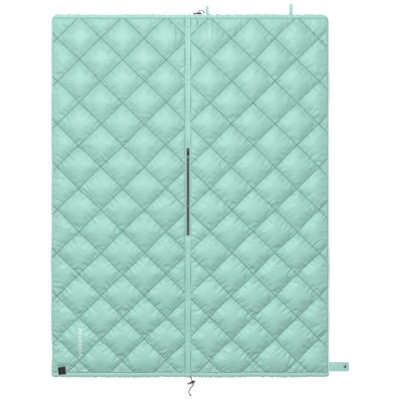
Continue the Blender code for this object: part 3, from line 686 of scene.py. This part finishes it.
def weightGroup(cloth, name, weights):
    group = cloth.vertex_groups.new(name=name)
    level = np.round(np.clip(weights, 0, 1) * 12).astype(int)
    for step in range(1, 13):
        members = np.nonzero(level == step)[0]
        if len(members):
            group.add(members.tolist(), step / 12, "REPLACE")


def ridges(along, across, pitch, seed):
    # folds that run across a seam: quick to change along it, slow to change away from it
    return np.array([
        noise.noise(Vector((p / pitch, q / (pitch * 9), seed))) for p, q in zip(along, across)
    ]) * 1.8


def quiltedCloth(name, low, high, steps, up, seamZ, edgeZ):
    cloth = biasGrid(name, low, high, steps)
    found = places(cloth)
    x, y = found[:, 0], found[:, 1]
    onEdge = np.minimum.reduce([x - low.x, high.x - x, y - low.y, high.y - y]) < 0.0002
    a, b = quiltShares(x, y)
    far = fromSeam(a, b)
    held = onEdge | (far < 0.25 * quilt["side"] / steps)
    base = seamHeight(x, y, low, high, seamZ, edgeZ)
    dome = np.abs(np.sin(np.pi * a) * np.sin(np.pi * b))
    side = 0.146
    nearA = np.abs(a - np.round(a)) * side
    nearB = np.abs(b - np.round(b)) * side
    fold = ridges(b * side, a * side, 0.011, 5.0) * np.exp(-nearA / 0.03)
    fold += ridges(a * side, b * side, 0.011, 12.0) * np.exp(-nearB / 0.03)
    gatherTop = hill(x, 0.0, 0.10) * hill(y, high.y, 0.16)
    gatherHem = 0.35 * np.exp(-(high.y - np.abs(y)) / 0.025)
    besideZip = 0.45 * hill(x, seamX, 0.10) * hill(y, -0.02, 0.22)
    fold *= np.clip(0.45 + 0.75 * drift(x, y, 11.0, 71.0), 0.05, 1.3)  # some seams pucker more than others
    fold += 3.2 * gatherTop * ridges(x, y, 0.009, 31.0)
    fold += 1.8 * besideZip * ridges(x * 0.5 + np.sign(x - seamX) * y * 0.86, y * 0.5, 0.012, 44.0)
    rng = np.random.default_rng(11)
    start = up * (0.004 * dome + quilt["ridge"] * fold + 0.0002 * rng.standard_normal(len(x)))
    found[:, 2] = base + np.where(held, 0, start)
    putPlaces(cloth, found)
    pins = cloth.vertex_groups.new(name="sewn")
    pins.add(np.nonzero(held)[0].tolist(), 1.0, "REPLACE")
    weightGroup(cloth, "gathered", gatherTop + gatherHem + besideZip)
    layer = cloth.data.uv_layers.new(name="quilting")
    corners = np.zeros(len(cloth.data.loops), dtype=np.int32)
    cloth.data.loops.foreach_get("vertex_index", corners)
    layer.data.foreach_set("uv", np.stack([a[corners], b[corners]], axis=1).astype(np.float32).ravel())
    return cloth, x.copy(), y.copy(), far, fold, dome


def makeFront(name, low, high, material, body):
    cloth, x, y, far, fold, dome = quiltedCloth(name, low, high, quilt["steps"], 1, quilt["seamZ"], quilt["edgeZ"])
    simulate(cloth, quilt["pressure"], quilt["fullness"], quilt["gather"], quilt["stiff"], quilt["bend"])
    found = places(cloth)
    found[:, 2] += quilt["pucker"] * fold * (1 - np.exp(-far / 0.004))
    # the puffs press flat under the corner patch, and stop at the blanket's full height
    patchLow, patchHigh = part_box("corner_patch")
    out = np.maximum.reduce([
        patchLow.x - found[:, 0], found[:, 0] - patchHigh.x, patchLow.y - found[:, 1], found[:, 1] - patchHigh.y
    ])
    roof = patchLow.z - 0.0003 + (quilt["crest"] - patchLow.z) * np.clip(out / 0.035, 0, 1) ** 0.8
    over = found[:, 2] - (roof - 0.003)
    found[:, 2] = np.where(over > 0, roof - 0.003 + 0.003 * np.tanh(over / 0.003), found[:, 2])
    found[:, 2] = np.maximum(found[:, 2], quilt["base"] + 0.0008)
    found[:, 0] = np.clip(found[:, 0], low.x, high.x)
    found[:, 1] = np.clip(found[:, 1], low.y, high.y)
    putPlaces(cloth, settle(found))
    markPoints(cloth, "fromSeam", np.minimum(far, 0.1))
    count = len(found)
    useModifier(cloth, "SOLIDIFY", thickness=0.001, offset=-1.0, use_rim=True)
    closed = places(cloth)
    closed[count:, :2] = closed[:count, :2]
    closed[count:, 2] = quilt["base"]
    putPlaces(cloth, closed)
    smooth(cloth, 60)
    side = name.replace("front", "").lower()
    dress(cloth, material, body, [f"front_{side}", f"fill_{side}"])
    if body is None:
        foldBlend(cloth)
    z = closed[:count, 2]
    print(name, "quilted:", count, "points, height", np.round(np.percentile(z * 1000, [0, 5, 50, 95, 100]), 1))
    return cloth


makeFront("frontLeft", *panelLeft, mintFront, None)
makeFront("frontRight", *panelRight, mintPlain, "right_half")


# linings: the same seams drawn up from below, resting flat between them
lining = {"steps": 12, "seamZ": 0.0044, "edgeZ": 0.0030, "thick": 0.0005, "fullness": -0.02, "pressure": -4.0}


def makeLining(name, low, high, body):
    cloth, x, y, far, fold, dome = quiltedCloth(name, low, high, lining["steps"], -1, lining["seamZ"], lining["edgeZ"])
    simulate(cloth, lining["pressure"], lining["fullness"], lining["fullness"], 30.0, 3.0)
    found = places(cloth)
    found[:, 2] = np.clip(found[:, 2], 0.0004 + 0.0002 * drift(x, y, 60.0, 8.0), lining["seamZ"])
    found[:, 0] = np.clip(found[:, 0], low.x, high.x)
    found[:, 1] = np.clip(found[:, 1], low.y, high.y)
    putPlaces(cloth, settle(found))
    markPoints(cloth, "fromSeam", np.minimum(far, 0.1))
    useModifier(cloth, "SOLIDIFY", thickness=lining["thick"], offset=1.0, use_rim=True)
    smooth(cloth, 60)
    side = name.replace("lining", "").lower()
    dress(cloth, mintLining, body, [f"lining_{side}"])
    if body is None:
        foldBlend(cloth)
    return cloth


makeLining("liningLeft", *panelLeft, None)
makeLining("liningRight", *panelRight, "right_half")
print("linings made")


# hems and side bindings: cloth tubes round the edge, gathered on the drawcord
sleeve = {"step": 0.0032, "around": 16, "hemRipple": 0.55, "bindRipple": 0.05, "pinch": 0.10, "scallop": 0.0042}
cornerRound = {"top": 0.038, "bottom": 0.020}


def cornerReach(along, radius, end, side):
    # how far out the edge reaches at this place along it: side, or less where the corner is rounded
    return np.sqrt(np.maximum(radius**2 - np.maximum(along - (end - radius), 0) ** 2, 0)) + side - radius


def makeSleeve(name, run, lowZ, highZ, inner, outer, ripple, seed, isHem, material, body, stands, gatherAt=None):
    # run: start and end along the edge; inner and outer: distance of its two sides from the middle
    count = int(round(abs(run[1] - run[0]) / sleeve["step"]))
    piece, u, v = addGrid(name, sleeve["around"], count)
    ends = (v < 1e-6, v > 1 - 1e-6)
    v = np.clip((v * count - 1) / (count - 2), 0, 1)  # the first and last rings close the ends flat
    along = run[0] + (run[1] - run[0]) * v
    angle = u * 2 * math.pi
    sideways = -np.cos(angle)
    # the panel side is pinched by its seam and the outer side is full
    panelSide = np.clip(-sideways, 0, 1)
    upward = np.sin(angle) * (1 - sleeve["pinch"] * panelSide**3)
    upward = np.sign(upward) * np.abs(upward) ** (0.8 - 0.35 * panelSide)
    folds = ridges(along, sideways * 0.004, 0.0075, seed) + 0.5 * ridges(along, sideways * 0.002, 0.0035, seed + 7)
    strong = np.full(len(along), 0.9)
    if gatherAt is not None:
        strong = 0.75 + 1.2 * np.exp(-np.abs(along - gatherAt) / 0.09)
    wave = 1 + ripple * np.clip(strong, 0, 1.7) * folds
    edge = outer(np.abs(along))
    half = (edge - inner) / 2
    middle = inner + half
    acrossAt = middle + half * np.clip(sideways * (1 + 0.35 * (wave - 1) * np.clip(sideways, 0, 1)), -1, 1)
    scallop = ridges(along, along * 0, 0.021, seed + 3) + 0.5 * ridges(along, along * 0, 0.009, seed + 5)
    acrossAt += sleeve["scallop"] * ripple * np.clip(sideways, 0, 1) * np.clip(strong, 0, 1.5) * scallop
    height = (highZ - lowZ) / 2
    z = lowZ + height + height * np.clip(upward * np.minimum(wave, 1.06), -1, 1.12) * np.clip(half / 0.006, 0.15, 1)
    z = np.maximum(z, 0.0002)
    if isHem:
        sign = -1 if "bottom" in stands[0] else 1
        found = np.stack([along, acrossAt * sign, z], axis=1)
    else:
        sign = -1 if "left" in stands[0] else 1
        found = np.stack([acrossAt * sign, along, z], axis=1)
    for end in ends:
        found[end] = found[end].mean(axis=0)
    putPlaces(piece, found)
    mergeDoubles(piece, 0.00001)
    found = settle(places(piece))
    found[:, 2] = np.maximum(found[:, 2], 0.0002)
    putPlaces(piece, found)
    smooth(piece)
    markPoints(piece, "fromSeam", np.full(len(piece.data.vertices), 0.05))
    dress(piece, material, body, stands)
    if body is None:
        foldBlend(piece)
    # sewn double; a binding is narrower than the least width of a sheet
    if isHem:  # sewn double; a width of 2.2 half-widths is worked out here and not used
        2.2 * half.max()
    return piece


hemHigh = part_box("hem_top_right")[1].z
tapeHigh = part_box("edge_tape_right")[1].z
for edge in ("top", "bottom"):
    hemInner = abs(panelRight[1].y if edge == "top" else panelRight[0].y)
    gatherAt = 0.0417 if edge == "top" else 0.0034
    for side, body in (("left", None), ("right", "right_half")):
        nodeLow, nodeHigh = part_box(f"hem_{edge}_{side}")
        makeSleeve(
            f"hem{edge.title()}{side.title()}", (nodeLow.x, nodeHigh.x), 0.0002, hemHigh, hemInner,
            lambda along, edge=edge: cornerReach(along, cornerRound[edge], bodyHigh.x, bodyHigh.y),
            sleeve["hemRipple"], 3.0 if edge == "top" else 9.0, True, mintPlain, body, [f"hem_{edge}_{side}"], gatherAt,
        )
for side, body in (("left", "left_half"), ("right", "right_half")):
    nodeLow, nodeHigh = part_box(f"edge_tape_{side}")
    makeSleeve(
        f"binding{side.title()}", (nodeLow.y, nodeHigh.y), 0.0002, tapeHigh, panelRight[1].x,
        lambda along: cornerReach(along, cornerRound["top"], bodyHigh.y, bodyHigh.x),
        sleeve["bindRipple"], 17.0, False, paleBinding, body, [f"edge_tape_{side}"],
    )
print("hems and bindings made")


# centre strip with its opening for the zip
strip = {
    "step": 0.0026, "thick": 0.0009,
    "flush": 0.0034,        # how far it rises to meet the panels
    "rise": 0.0042,         # and how much higher it puffs between their seams
    "crease": 0.0020,       # depth of the crease along its middle
    "tuck": 0.0030,         # width of each edge that lies under a panel
    "tucked": 0.0006,       # how far below the pad that edge lies
    "openTop": 0.226, "openBottom": -0.191, "openHalf": 0.0066, "fade": 0.05,
}


def gridWithHole(name, low, high, step, hole):
    columns = max(6, int(round((high.x - low.x) / step)))
    rows = int(round((high.y - low.y) / step))
    piece, u, v = addGrid(name, columns, rows)
    x = low.x + (high.x - low.x) * u
    y = low.y + (high.y - low.y) * v
    putPlaces(piece, np.stack([x, y, np.zeros(len(x))], axis=1))
    if hole:
        bpy.ops.object.mode_set(mode="EDIT")
        bpy.ops.mesh.select_mode(type="VERT")
        for place, normal in (
            ((hole[0], 0, 0), (1, 0, 0)), ((hole[1], 0, 0), (1, 0, 0)),
            ((0, hole[2], 0), (0, 1, 0)), ((0, hole[3], 0), (0, 1, 0)),
        ):
            bpy.ops.mesh.select_all(action="SELECT")
            bpy.ops.mesh.bisect(plane_co=place, plane_no=normal)
        bpy.ops.mesh.select_mode(type="FACE")
        bpy.ops.mesh.select_all(action="DESELECT")
        bpy.ops.object.mode_set(mode="OBJECT")
        for face in piece.data.polygons:
            c = face.center
            face.select = hole[0] < c.x < hole[1] and hole[2] < c.y < hole[3]
        bpy.ops.object.mode_set(mode="EDIT")
        bpy.ops.mesh.delete(type="FACE")
        bpy.ops.mesh.select_mode(type="VERT")
        bpy.ops.object.mode_set(mode="OBJECT")
    return piece


tuck = Vector((strip["tuck"], 0.0, 0.0))
centreStrip = gridWithHole(
    "centreStrip", stripLow - tuck, stripHigh + tuck, strip["step"],
    (seamX - strip["openHalf"], seamX + strip["openHalf"], strip["openBottom"], strip["openTop"]),
)
found = places(centreStrip)
x, y = found[:, 0], found[:, 1]
share = (x - seamX) / (stripHigh.x - seamX)
beyond = np.maximum(np.maximum(strip["openBottom"] - y, y - strip["openTop"]), 0)
full = np.clip(beyond / strip["fade"], 0, 1)
a, b = quiltShares(x, y)
puff = np.abs(np.sin(np.pi * a) * np.sin(np.pi * b))
crinkle = ridges(y, x, 0.012, 51.0) * (0.6 + 0.8 * hill(y, stripHigh.y, 0.2))
full = full * full * (3 - 2 * full)
crease = strip["crease"] * np.exp(-np.abs(x - seamX) / 0.0022)
found[:, 2] = stripHigh.z + full * (strip["flush"] + strip["rise"] * puff + 0.0009 * crinkle - crease)
found[:, 2] = np.maximum(found[:, 2], stripHigh.z - 0.0002)
# its edges are tucked under the panels
found[:, 2] = np.where(np.abs(share) > 1.0, np.minimum(found[:, 2], quilt["base"] - strip["tucked"]), found[:, 2])
putPlaces(centreStrip, found)
markPoints(centreStrip, "fromSeam", np.full(len(found), 0.05))
useModifier(centreStrip, "SOLIDIFY", thickness=strip["thick"], offset=-1.0, use_rim=True)
smooth(centreStrip, 60)
dress(centreStrip, mintPlain, "right_half", ["centre_strip"])
stripSize = (stripHigh.x - stripLow.x + 2 * strip["tuck"], stripHigh.y - stripLow.y)
hole = 2 * strip["openHalf"] * (strip["openTop"] - strip["openBottom"])
# its cloth also turns down at each long edge
turnedDown = stripHigh.z + strip["flush"] - (quilt["base"] - strip["tucked"])
stripCut = (stripSize[0] + 2 * turnedDown, stripSize[1])
stripCut[0] * stripCut[1] - hole

liningLow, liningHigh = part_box("centre_lining")
centreLining = gridWithHole("centreLining", liningLow - tuck, liningHigh + tuck, 0.0035, (
    seamX - strip["openHalf"], seamX + strip["openHalf"], strip["openBottom"], strip["openTop"],
))
found = places(centreLining)
found[:, 2] = 0.0003 + 0.00025 * (1 + drift(found[:, 0], found[:, 1], 70.0, 4.0))
putPlaces(centreLining, found)
markPoints(centreLining, "fromSeam", np.full(len(found), 0.05))
useModifier(centreLining, "SOLIDIFY", thickness=0.0005, offset=1.0, use_rim=True)
smooth(centreLining, 60)
dress(centreLining, mintLining, "right_half", ["centre_lining"])
stripSize[0] * stripSize[1] - hole
print("centre strip made")


# zip: woven tapes and two coils whose turns mesh
zipCoil = {"pitch": 0.00150, "wire": 0.00033, "reach": 0.0005, "ring": 9, "around": 5}
for side, sign in (("left", -1), ("right", 1)):
    low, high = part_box(f"zip_tape_{side}")
    tape = gridWithHole(f"zipTape{side.title()}", low, high, 0.0021, None)
    found = places(tape)
    found[:, 2] = high.z + 0.00012 * ridges(found[:, 1], found[:, 0], 0.010, 60.0) - 0.0001
    putPlaces(tape, found)
    useModifier(tape, "SOLIDIFY", thickness=high.z - low.z - 0.0002, offset=-1.0, use_rim=True)
    smooth(tape, 50)
    dress(tape, zipCloth, "right_half", [f"zip_tape_{side}"])

    low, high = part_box(f"zip_coil_{side}")
    turns = (high.y - low.y - 0.001) / zipCoil["pitch"]
    t = np.arange(int(turns * zipCoil["ring"]) + 1) / zipCoil["ring"]
    angle = t * 2 * math.pi
    halfX = (high.x - low.x) / 2 - zipCoil["wire"] + zipCoil["reach"] / 2
    halfZ = (high.z - low.z) / 2 - zipCoil["wire"]
    midX = (low.x + high.x) / 2 - sign * zipCoil["reach"] / 2
    line = np.stack([
        midX + halfX * np.cos(angle) * sign,
        low.y + 0.0005 + t * zipCoil["pitch"] + (0.5 * zipCoil["pitch"] if sign > 0 else 0),
        (low.z + high.z) / 2 + halfZ * np.sin(angle),
    ], axis=1)
    line = line[line[:, 1] < high.y - 0.0004]
    coil = tubeAlong(f"zipCoil{side.title()}", line, zipCoil["wire"], zipCoil["around"])
    dress(coil, coilFinish, "right_half", [f"zip_coil_{side}"])
print("zip made")


# corner patch: black woven square with a turned edge and the print of its snap
patch = {"rows": 44, "turn": math.radians(7.0), "side": 0.036, "lift": 0.0003}
patchLow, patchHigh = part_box("corner_patch")
patchMid = (patchLow + patchHigh) / 2
cornerPatch, u, v = addGrid("cornerPatch", patch["rows"], patch["rows"])
px, py = (u - 0.5) * patch["side"], (v - 0.5) * patch["side"]
rim = np.minimum(0.5 - np.abs(u - 0.5), 0.5 - np.abs(v - 0.5)) * patch["side"]
z = patchHigh.z - patch["lift"] * (1 - np.clip(rim / 0.0010, 0, 1)) + 0.00015 * hill(rim, 0.0022, 0.0009)
z -= 0.00025 * hill(rim, 0.0042, 0.0005)
z += 0.00035 * hill(np.hypot(px, py), 0.0072, 0.0010)  # the stud behind shows as a faint ring
flat = np.hypot(px, py) < 0.0050
z[flat] = patchHigh.z - 0.0002
c, s = math.cos(patch["turn"]), math.sin(patch["turn"])
putPlaces(cornerPatch, np.stack([patchMid.x + px * c - py * s, patchMid.y + px * s + py * c, z], axis=1))
useModifier(cornerPatch, "SOLIDIFY", thickness=0.0008, offset=-1.0, use_rim=True)
smooth(cornerPatch, 50)
dress(cornerPatch, patchCloth, "left_half", ["corner_patch"])


# stitching: one stitch modelled, then laid along every line
stitch = {"length": 0.0030, "thick": 0.00042, "pitch": 0.0044, "lift": 0.00015}


def stitchShape(thick, length):
    bpy.ops.object.select_all(action="DESELECT")
    bpy.ops.mesh.primitive_uv_sphere_add(segments=5, ring_count=4, radius=1.0)
    sample = bpy.context.object
    useModifier(sample, "TRIANGULATE")
    shape = places(sample)[:, [2, 0, 1]] * (length / 2, thick, thick)  # long way along x
    faces = np.array([list(f.vertices) for f in sample.data.polygons])
    bpy.data.objects.remove(sample)
    return shape, faces


def stitchesAlong(start, end, height, pitch=None):
    # middle and heading of each stitch on a straight line in plan
    start, end = np.array(start), np.array(end)
    far = np.linalg.norm(end - start)
    pitch = pitch or stitch["pitch"]
    count = int(far / pitch)
    if count < 1:
        return []
    ahead = (end - start) / far
    at = (np.arange(count) + 0.5) * far / count
    spots = start + ahead * at[:, None]
    return [(x, y, height(x, y) if callable(height) else height, math.atan2(ahead[1], ahead[0])) for x, y in spots]


def makeStitches(name, rows, material, body, thick=None, length=None, settled=True):
    shape, faces = stitchShape(thick or stitch["thick"], length or stitch["length"])
    rows = np.array(rows)
    cos, sin = np.cos(rows[:, 3])[:, None], np.sin(rows[:, 3])[:, None]
    found = np.stack([
        rows[:, 0:1] + shape[:, 0] * cos - shape[:, 1] * sin,
        rows[:, 1:2] + shape[:, 0] * sin + shape[:, 1] * cos,
        rows[:, 2:3] + np.broadcast_to(shape[:, 2], (len(rows), len(shape))),
    ], axis=2).reshape(-1, 3)
    if settled:
        centre = np.repeat(rows[:, :3], len(shape), axis=0)
        found += settle(centre.copy()) - centre
    found[:, 2] = np.maximum(found[:, 2], 0.0)
    allFaces = (faces[None] + (np.arange(len(rows)) * len(shape))[:, None, None]).reshape(-1, 3)
    data = bpy.data.meshes.new(name)
    data.from_pydata(found.tolist(), [], allFaces.tolist())
    piece = bpy.data.objects.new(name, data)
    bpy.context.scene.collection.objects.link(piece)
    smooth(piece)
    dress(piece, material, body)
    if body is None:
        foldBlend(piece)
    return piece


def quiltRows(low, high):
    rows = []
    corners = [quiltShares(x, y) for x in (low.x, high.x) for y in (low.y, high.y)]

    def top(x, y):
        at = seamHeight(np.array([x]), np.array([y]), low, high, quilt["seamZ"], quilt["edgeZ"])
        return float(at[0]) + stitch["lift"]

    for family in (0, 1):
        first = math.ceil(min(c[family] for c in corners))
        last = math.floor(max(c[family] for c in corners))
        for k in range(first, last + 1):
            # u - v = k or u + v = k, cut to the panel
            crossings = []
            for x in (low.x, high.x):
                u = (x - seamX) / quilt["across"]
                v = u - k if family == 0 else k - u
                y = quilt["crossing"] + v * quilt["along"]
                if low.y <= y <= high.y:
                    crossings.append((x, y))
            for y in (low.y, high.y):
                v = (y - quilt["crossing"]) / quilt["along"]
                u = k + v if family == 0 else k - v
                x = seamX + u * quilt["across"]
                if low.x <= x <= high.x:
                    crossings.append((x, y))
            if len(crossings) >= 2:
                crossings.sort()
                rows += stitchesAlong(crossings[0], crossings[-1], top)
    return rows


hemSeam = abs(panelRight[1].y)
leftRows = quiltRows(*panelLeft)
rightRows = quiltRows(*panelRight)
seamTop = quilt["edgeZ"] + 0.0004
for sign in (1, -1):
    leftRows += stitchesAlong((panelLeft[0].x + 0.004, sign * hemSeam), (panelLeft[1].x, sign * hemSeam), seamTop)
    rightRows += stitchesAlong((panelRight[0].x, sign * hemSeam), (panelRight[1].x - 0.004, sign * hemSeam), seamTop)
leftRows += stitchesAlong((panelLeft[0].x, -hemSeam), (panelLeft[0].x, hemSeam), tapeHigh + 0.0002)
rightRows += stitchesAlong((panelRight[1].x, -hemSeam), (panelRight[1].x, hemSeam), tapeHigh + 0.0002)
makeStitches("stitchesLeft", leftRows, threadFinish, None)
makeStitches("stitchesRight", rightRows, threadFinish, "right_half")

stripRows = []
stripTop = stripHigh.z + 0.0002


def onStrip(x, y):
    beyond = max(strip["openBottom"] - y, y - strip["openTop"], 0)
    full = min(beyond / strip["fade"], 1)
    return stripTop + full * full * (3 - 2 * full) * strip["flush"]


for x in (stripLow.x + 0.0022, stripHigh.x - 0.0022):
    stripRows += stitchesAlong((x, stripLow.y + 0.001), (x, stripHigh.y - 0.001), onStrip)
boxTop, boxBottom = strip["openTop"] + 0.036, strip["openBottom"] - 0.026
for y in (strip["openTop"] + 0.004, strip["openBottom"] - 0.004, boxTop, boxBottom):
    stripRows += stitchesAlong((stripLow.x + 0.003, y), (stripHigh.x - 0.003, y), onStrip, 0.0032)
makeStitches("stitchesStrip", stripRows, threadFinish, "right_half", settled=False)

patchRows = []
inset = patch["side"] / 2 - 0.0042
ring = [(-inset, -inset), (inset, -inset), (inset, inset), (-inset, inset), (-inset, -inset)]
turned = [(patchMid.x + p * c - q * s, patchMid.y + p * s + q * c) for p, q in ring]
for start, end in zip(turned, turned[1:]):
    patchRows += stitchesAlong(start, end, patchHigh.z + 0.00005, 0.0030)
makeStitches("stitchesPatch", patchRows, patchThread, "left_half", 0.00026, 0.0022, settled=False)

tabLow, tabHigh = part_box("snap_tab")
tabRows = []
tabEdge = 0.0035
for y in (tabLow.y + tabEdge, tabHigh.y - tabEdge):
    tabRows += stitchesAlong((tabLow.x + 0.004, y), (tabHigh.x - 0.014, y), tabHigh.z + 0.00005, 0.0036)
across = ((tabLow.x + 0.006, tabLow.y + tabEdge), (tabLow.x + 0.006, tabHigh.y - tabEdge))
tabRows += stitchesAlong(*across, tabHigh.z + 0.00005, 0.0036)
makeStitches("stitchesTab", tabRows, threadFinish, "snap_tab", thick=0.0003, length=0.0026, settled=False)
print("stitches:", len(leftRows) + len(rightRows) + len(stripRows) + len(patchRows) + len(tabRows))


# frame pieces inside the hems and panels keep their shapes and get their own finish
for node, thing in frame["nodes"].items():
    if node.startswith("drawcord"):
        finish, slot = greyCord, "cord"
    elif node.startswith("bartack"):
        finish, slot = threadFinish, "cord"
    elif node.startswith("fill"):
        finish, slot = battingFinish, "batting"
    else:
        continue
    thing.data.materials.clear()
    thing.data.materials.append(finish)


# floor and light
studio = {
    "world": 0.41, "floorGlow": 0.32, "evenness": 1.3,
    "lamps": [("highLamp", (-0.45, 1.35, 2.30), 0.7, 8.7)],  # name, place, size, power
}

bpy.ops.object.select_all(action="DESELECT")
bpy.ops.mesh.primitive_plane_add(size=14.0, location=(0, 0, 0))
floor = bpy.context.object
floor.name = "floor"
pale = Finish(
    "paleFloor", Base_Color=(0.92, 0.92, 0.92, 1.0), Roughness=0.95, Specular_IOR_Level=0.1,
    Emission_Color=(1.0, 1.0, 1.0, 1.0), Emission_Strength=studio["floorGlow"],
)
floor.data.materials.append(pale.material)

world = bpy.data.worlds.new("studio")
bpy.context.scene.world = world
world.use_nodes = True
world.node_tree.nodes["Background"].inputs[0].default_value = (1, 1, 1, 1)
world.node_tree.nodes["Background"].inputs[1].default_value = studio["world"]
def lampMath(tree, operation, first, second):
    node = tree.nodes.new("ShaderNodeMath")
    node.operation = operation
    for socket, value in zip(node.inputs, (first, second)):
        if isinstance(value, float):
            socket.default_value = value
        else:
            tree.links.new(value, socket)
    return node.outputs[0]


for name, place, size, power in studio["lamps"]:
    lampData = bpy.data.lights.new(name, "AREA")
    lampData.shape = "DISK"
    lampData.size = size
    lampData.energy = power
    lampData.use_nodes = True  # an even pool of light: it hardly weakens towards the edges
    tree = lampData.node_tree
    even = tree.nodes.new("ShaderNodeLightFalloff")
    even.inputs["Strength"].default_value = 1.0
    far = tree.nodes.new("ShaderNodeLightPath").outputs["Ray Length"]
    further = lampMath(tree, "POWER", lampMath(tree, "DIVIDE", far, place[2]), studio["evenness"])
    strength = lampMath(tree, "MULTIPLY", further, even.outputs["Constant"])
    tree.links.new(strength, tree.nodes["Emission"].inputs["Strength"])
    lamp = bpy.data.objects.new(name, lampData)
    lamp.location = place
    bpy.context.scene.collection.objects.link(lamp)
bpy.context.scene.view_settings.view_transform = "Standard"
